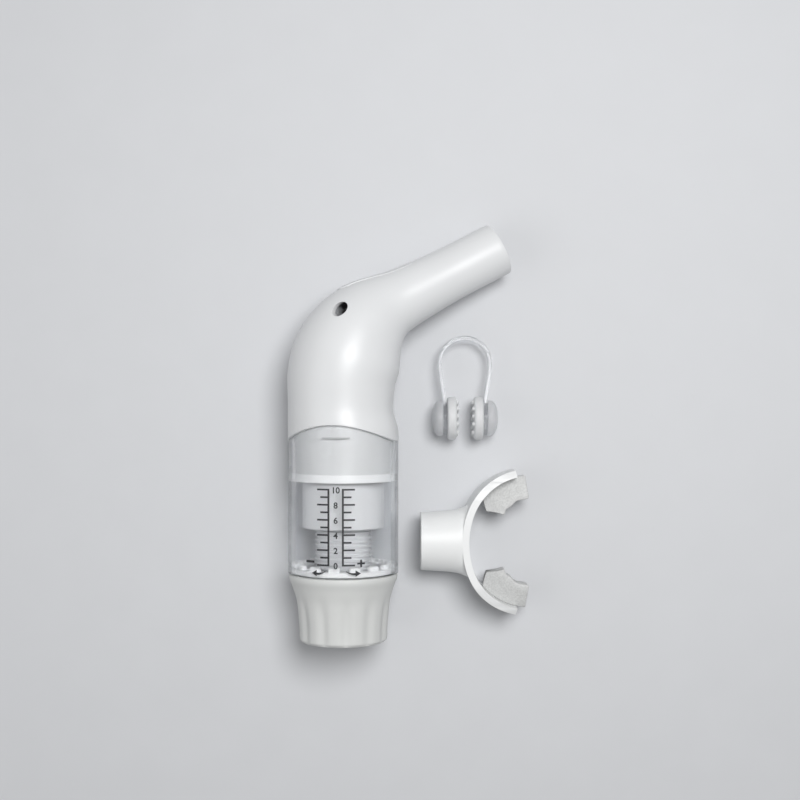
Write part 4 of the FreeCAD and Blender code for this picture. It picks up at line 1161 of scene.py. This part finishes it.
# %% [markdown]
# The two bite blocks are soft and grainy. Each starts as a spun cross-section, a wedge that is
# high at its inner edge. The photo shows a pointed front end, a block that grows deeper towards
# it, and a wavy inner edge. All three are made by moving the vertices of the spun block along
# the curve, inwards or outwards. The second block is the first one's mirror image.

# %% Build the bite blocks
BITE_FIRST = math.radians(32.8)
BITE_LAST = math.radians(86.0)
BITE_WIDTH = 10.2
BITE_PLATE = 4.0
BITE_EDGE = 2.0
BITE_EDGE_HEIGHT = 10.0
BITE_GAP = 0.05
BITE_WAVES = 2.2
BITE_WAVE_DEPTH = 0.6
BITE_SLOPE_STEPS = 6
BITE_STEPS = 40
BITE_NOSE = math.radians(10.0)
BITE_NOSE_DEPTH = 0.4
BITE_NOSE_SHARE = 0.5
BITE_DEEPER = 1.6


def bite_section(inner, outer):
    """A flat inner edge, then a slope down to the thin plate at the shield."""
    plate, edge = BITE_PLATE / 2, BITE_EDGE_HEIGHT / 2
    ridge = inner + BITE_EDGE
    slope = []
    for index in range(BITE_SLOPE_STEPS + 1):
        share = index / BITE_SLOPE_STEPS
        slope.append((ridge + (outer - ridge) * share, edge + (plate - edge) * share))
    return [(inner, -edge)] + [(x, -z) for x, z in slope] + slope[::-1] + [(inner, edge)]


def build_bite_block(name, side, node):
    centre = Vector((MOUTH_TUBE + SHIELD_RADIUS, 0, 0))
    outer = SHIELD_RADIUS - SHIELD_WALL - BITE_GAP
    block = spun(name, bite_section(outer - BITE_WIDTH, outer), math.pi - BITE_LAST,
                 math.pi - BITE_FIRST, BITE_STEPS, centre)
    rounded(block, width=0.7, steps=3, angle=50.0)
    for vertex in block.data.vertices:
        offset = vertex.co - centre
        radius = math.hypot(offset.x, offset.y)
        angle = math.pi - math.atan2(offset.y, offset.x)
        share = (angle - BITE_FIRST) / (BITE_LAST - BITE_FIRST)
        depth = (outer - radius) / BITE_WIDTH
        wave = 0.5 - 0.5 * math.cos(2 * math.pi * BITE_WAVES * share)
        radius += (BITE_WAVE_DEPTH * wave - BITE_DEEPER * (1 - share)) * depth
        if share < BITE_NOSE_SHARE:
            side_depth = BITE_NOSE_DEPTH if depth < BITE_NOSE_DEPTH else 1 - BITE_NOSE_DEPTH
            slant = abs(depth - BITE_NOSE_DEPTH) / side_depth
            angle += BITE_NOSE * slant * (1 - share / BITE_NOSE_SHARE)
        along = radius * math.sin(angle)
        vertex.co = (centre.x - radius * math.cos(angle) + forward(along), side * along,
                     vertex.co.z)
    if side < 0:
        pick(block)
        bpy.ops.object.mode_set(mode="EDIT")
        tidy_edit()
    return finish_piece(block, MOUTHPIECE, bite_soft, "mouthpiece", [node], 50.0)


build_bite_block("bite_upper", 1, "bite_block_upper")
build_bite_block("bite_lower", -1, "bite_block_lower")

# %% [markdown]
# ## The nose clip
# A clear springy bow carries two round pads with small studs, and a frosted grip outside each
# leg. The real bow bends when the clip is opened; this one is bound to neither arm and keeps
# one shape. It is a flat bar's end, extruded step by step along the bow's line and turned with it.

# %% Build the bow
BOW_RADIUS = 12.3
BOW_THICKNESS = 1.8
BOW_WIDTH = 9.0
BOW_CENTRE = 24.7
LEG_GAP = 8.1
LEG_PLACES = [0.0, 0.62, 1.0]
LEG_REACHES = [1.0, 0.16, 0.0]
LEG_DISC = 7.6
BOW_STEPS = 28
LEG_STEPS = 10


def bow_line():
    """Points of the bow's middle line and its turn there, from the left leg to the right."""
    middle = BOW_RADIUS - BOW_THICKNESS / 2
    leg = LEG_GAP + BOW_THICKNESS / 2
    arch = []
    for index in range(BOW_STEPS + 1):
        angle = math.pi * (1 - index / BOW_STEPS)
        point = Vector((middle * math.cos(angle), BOW_CENTRE + middle * math.sin(angle), 0))
        arch.append((point, angle))
    right = []
    for index in range(1, LEG_STEPS + 1):
        share = index / LEG_STEPS
        reach = leg + (middle - leg) * eased(LEG_PLACES, LEG_REACHES, share)
        right.append((Vector((reach, BOW_CENTRE * (1 - share), 0)), 0.0))
    left = [(Vector((-point.x, point.y, 0)), math.pi) for point, _ in reversed(right)]
    return left + arch + right


def build_bow():
    clear_selection()
    bpy.ops.mesh.primitive_plane_add(size=1.0)
    bow = bpy.context.object
    bow.name = "spring_bow"
    steps = bow_line()
    place, turn = steps[0]
    bow.data.transform(Matrix.Translation(place) @ Matrix.Rotation(math.radians(90), 4, "X")
                       @ Matrix.Diagonal((BOW_THICKNESS, BOW_WIDTH, 1, 1)))
    bpy.ops.object.mode_set(mode="EDIT")
    bpy.ops.mesh.select_all(action="SELECT")
    for new_place, new_turn in steps[1:]:
        bpy.ops.mesh.extrude_region_move()
        if abs(new_turn - turn) > SAME:
            bpy.ops.transform.rotate(value=turn - new_turn, orient_axis="Z",
                                     center_override=place)
        bpy.ops.transform.translate(value=new_place - place)
        place, turn = new_place, new_turn
    tidy_edit()
    for side in (-1, 1):
        disc = tube_along_x(f"leg_disc_{side}", [(LEG_DISC, LEG_GAP),
                                                 (LEG_DISC, LEG_GAP + BOW_THICKNESS)], 64)
        disc.data.transform(Matrix.Scale(side, 4, Vector((1, 0, 0))))
        if side < 0:
            disc.data.flip_normals()
        combined(bow, disc, "UNION")
    rounded(bow, width=0.45, steps=3, angle=40.0)
    finish_piece(bow, CLIP, bow_clear, None, ["clip_bow"])
    crown = Vector(joints["clip_open"]["pos_m"])
    left, right = crown.copy(), crown.copy()
    left.x -= BOW_RADIUS * MM
    right.x += BOW_RADIUS * MM
    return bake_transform(bow)


build_bow()

# %% [markdown]
# The grips are shallow domes that stand against the outside of the legs. A half-round profile
# would look like a ball, so the dome is made a little fuller towards its rim.

# %% Build a grip
CLIP_GAP = 0.05
GRIP_RADIUS = 8.0
GRIP_HEIGHT = 4.8
GRIP_EDGE = 0.3
GRIP_ARC = math.radians(78.0)
GRIP_RINGS = 12
GRIP_FOOT = 0.28
GRIP_SQUARE = 0.8


def side_matrix(side, distance):
    """Stands a piece that was turned about Z against the leg on one side, facing outwards."""
    turn = Matrix.Rotation(math.radians(90 * side), 4, "Y")
    return Matrix.Translation((side * distance, 0, 0)) @ turn


def build_grip(name, side, body, node):
    profile = [(GRIP_RADIUS - GRIP_EDGE, 0.0), (GRIP_RADIUS, GRIP_EDGE)]
    for index in range(GRIP_RINGS + 1):
        angle = GRIP_ARC * index / GRIP_RINGS
        rise = GRIP_FOOT + (1 - GRIP_FOOT) * math.sin(angle)
        profile.append((GRIP_RADIUS * math.cos(angle) ** GRIP_SQUARE, GRIP_HEIGHT * rise))
    grip = turned(name, profile, 64, closed=False)
    distance = LEG_GAP + BOW_THICKNESS + CLIP_GAP
    grip.data.transform(side_matrix(side, distance))
    return finish_piece(grip, CLIP, clip_frosted, body, [node], 50.0)


# %% [markdown]
# The pads are discs with rounded rims. Each pad's inner face has rows of small studs. One stud
# is modelled and then copied to each place, and the copies are joined to the disc.

# %% Build a pad
PAD_RADIUS = 9.7
PAD_THICKNESS = 4.2
PAD_RIM = PAD_THICKNESS * 0.3
RIM_STEPS = 5
STUD_PITCH = 3.4
STUD_PROFILE = [(1.1, -0.4), (1.1, 0.1), (0.902, 0.65), (0.495, 1.0)]


def copied(piece, place):
    """A copy with its own mesh, moved to `place`."""
    copy = piece.copy()
    copy.data = piece.data.copy()
    copy.data.transform(Matrix.Translation(place))
    bpy.context.scene.collection.objects.link(copy)
    return copy


def studs():
    """Rows and columns of studs, as far out as the pad is flat."""
    reach = PAD_RADIUS - STUD_PITCH / 2
    rows = int(reach // STUD_PITCH)
    stud = turned("stud", STUD_PROFILE, 16, closed=False)
    parts = []
    for row in range(-rows, rows + 1):
        for column in range(-rows, rows + 1):
            if math.hypot(row, column) * STUD_PITCH <= reach:
                parts.append(copied(stud, (row * STUD_PITCH, column * STUD_PITCH, PAD_THICKNESS)))
    bpy.data.objects.remove(stud)
    return parts


def build_pad(name, side, body, node):
    profile = [(PAD_RADIUS - PAD_RIM, 0.0)]
    for index in range(1, RIM_STEPS + 1):
        angle = math.pi / 2 * index / RIM_STEPS
        profile.append((PAD_RADIUS - PAD_RIM + PAD_RIM * math.sin(angle),
                        PAD_RIM * (1 - math.cos(angle))))
    for index in range(RIM_STEPS + 1):
        angle = math.pi / 2 * index / RIM_STEPS
        profile.append((PAD_RADIUS - PAD_RIM + PAD_RIM * math.cos(angle),
                        PAD_THICKNESS - PAD_RIM + PAD_RIM * math.sin(angle)))
    pad = turned(name, profile, 64, closed=False)
    joined(name, [pad] + studs())
    pad.data.transform(Matrix.Translation((side * (LEG_GAP - CLIP_GAP), 0, 0))
                       @ Matrix.Rotation(math.radians(-90 * side), 4, "Y"))
    return finish_piece(pad, CLIP, pad_frosted, body, [node], 50.0)


for side, word, body in ((-1, "left", "nose_clip"), (1, "right", "nose_clip_arm")):
    build_grip(f"grip_{word}", side, body, f"clip_grip_{word}")
    build_pad(f"pad_{word}", side, body, f"clip_pad_{word}")

# %% [markdown]
# ## Pieces that keep their solids
# The frame, the carriage, the lead screw and the valve already have the right shape. They only
# need their finishes, which take the place of the plain ones in their own material slots.

# %% Finish the remaining solids
KEPT = {
    "knob_cap": knob_white, "drive_socket": inner_white, "socket_screw": steel,
    "inner_frame": frame_white, "carriage": inner_white, "lead_screw": inner_white,
    "stem_retainer": inner_white, "valve_insert": frame_white, "poppet": inner_white,
    # Painted shade: the exhale floor and the flap clamp are near black so the ports show dark.
    "poppet_seal": silicone, "neck_oring": silicone, "exhale_floor": port_painted_shade,
    "exhale_flap": silicone, "flap_clamp": port_painted_shade,
}
for node, material in KEPT.items():
    solid = frame["nodes"][node]
    solid.data.materials.clear()
    solid.data.materials.append(material)
print("solids finished:", len(KEPT))

# %% [markdown]
# ## Floor and light
# A plain pale floor, a large soft lamp from the upper right, a weaker one from the left and an
# even sky. The white plastics stay just under full white, so that their shapes still show.

# %% Light the scene
KEY_PLACE = Vector((0.14, 0.20, 0.74))
KEY_SIZE = 0.38
KEY_POWER = 4.6
FILL_PLACE = Vector((-0.55, -0.10, 0.50))
FILL_SIZE = 0.6
FILL_POWER = 0.7
SKY = 0.24
FLOOR_SIZE = 4.0


def soft_lamp(name, place, size, power):
    bpy.ops.object.light_add(type="AREA", location=place)
    lamp = bpy.context.object
    lamp.name = name
    lamp.data.shape = "DISK"
    lamp.data.size = size
    lamp.data.energy = power
    lamp.rotation_euler = (-place).to_track_quat("-Z", "Y").to_euler()
    return lamp


def pale_floor():
    clear_selection()
    bpy.ops.mesh.primitive_plane_add(size=FLOOR_SIZE, location=(0, 0, FLOOR))
    floor = bpy.context.object
    floor.name = "pale_floor"
    floor.data.materials.append(moulded("floor_pale", (0.66, 0.67, 0.69), 0.01, 0.8, 300.0, 0.02))
    return floor


pale_floor()
soft_lamp("key_lamp", KEY_PLACE, KEY_SIZE, KEY_POWER)
soft_lamp("fill_lamp", FILL_PLACE, FILL_SIZE, FILL_POWER)
world = bpy.data.worlds.new("even_sky")
world.use_nodes = True
world.node_tree.nodes["Background"].inputs["Color"].default_value = (1.0, 1.0, 1.0, 1.0)
world.node_tree.nodes["Background"].inputs["Strength"].default_value = SKY
bpy.context.scene.world = world
bpy.context.scene.view_settings.view_transform = "Standard"
print("lamps at", list(KEY_PLACE), "and", list(FILL_PLACE))
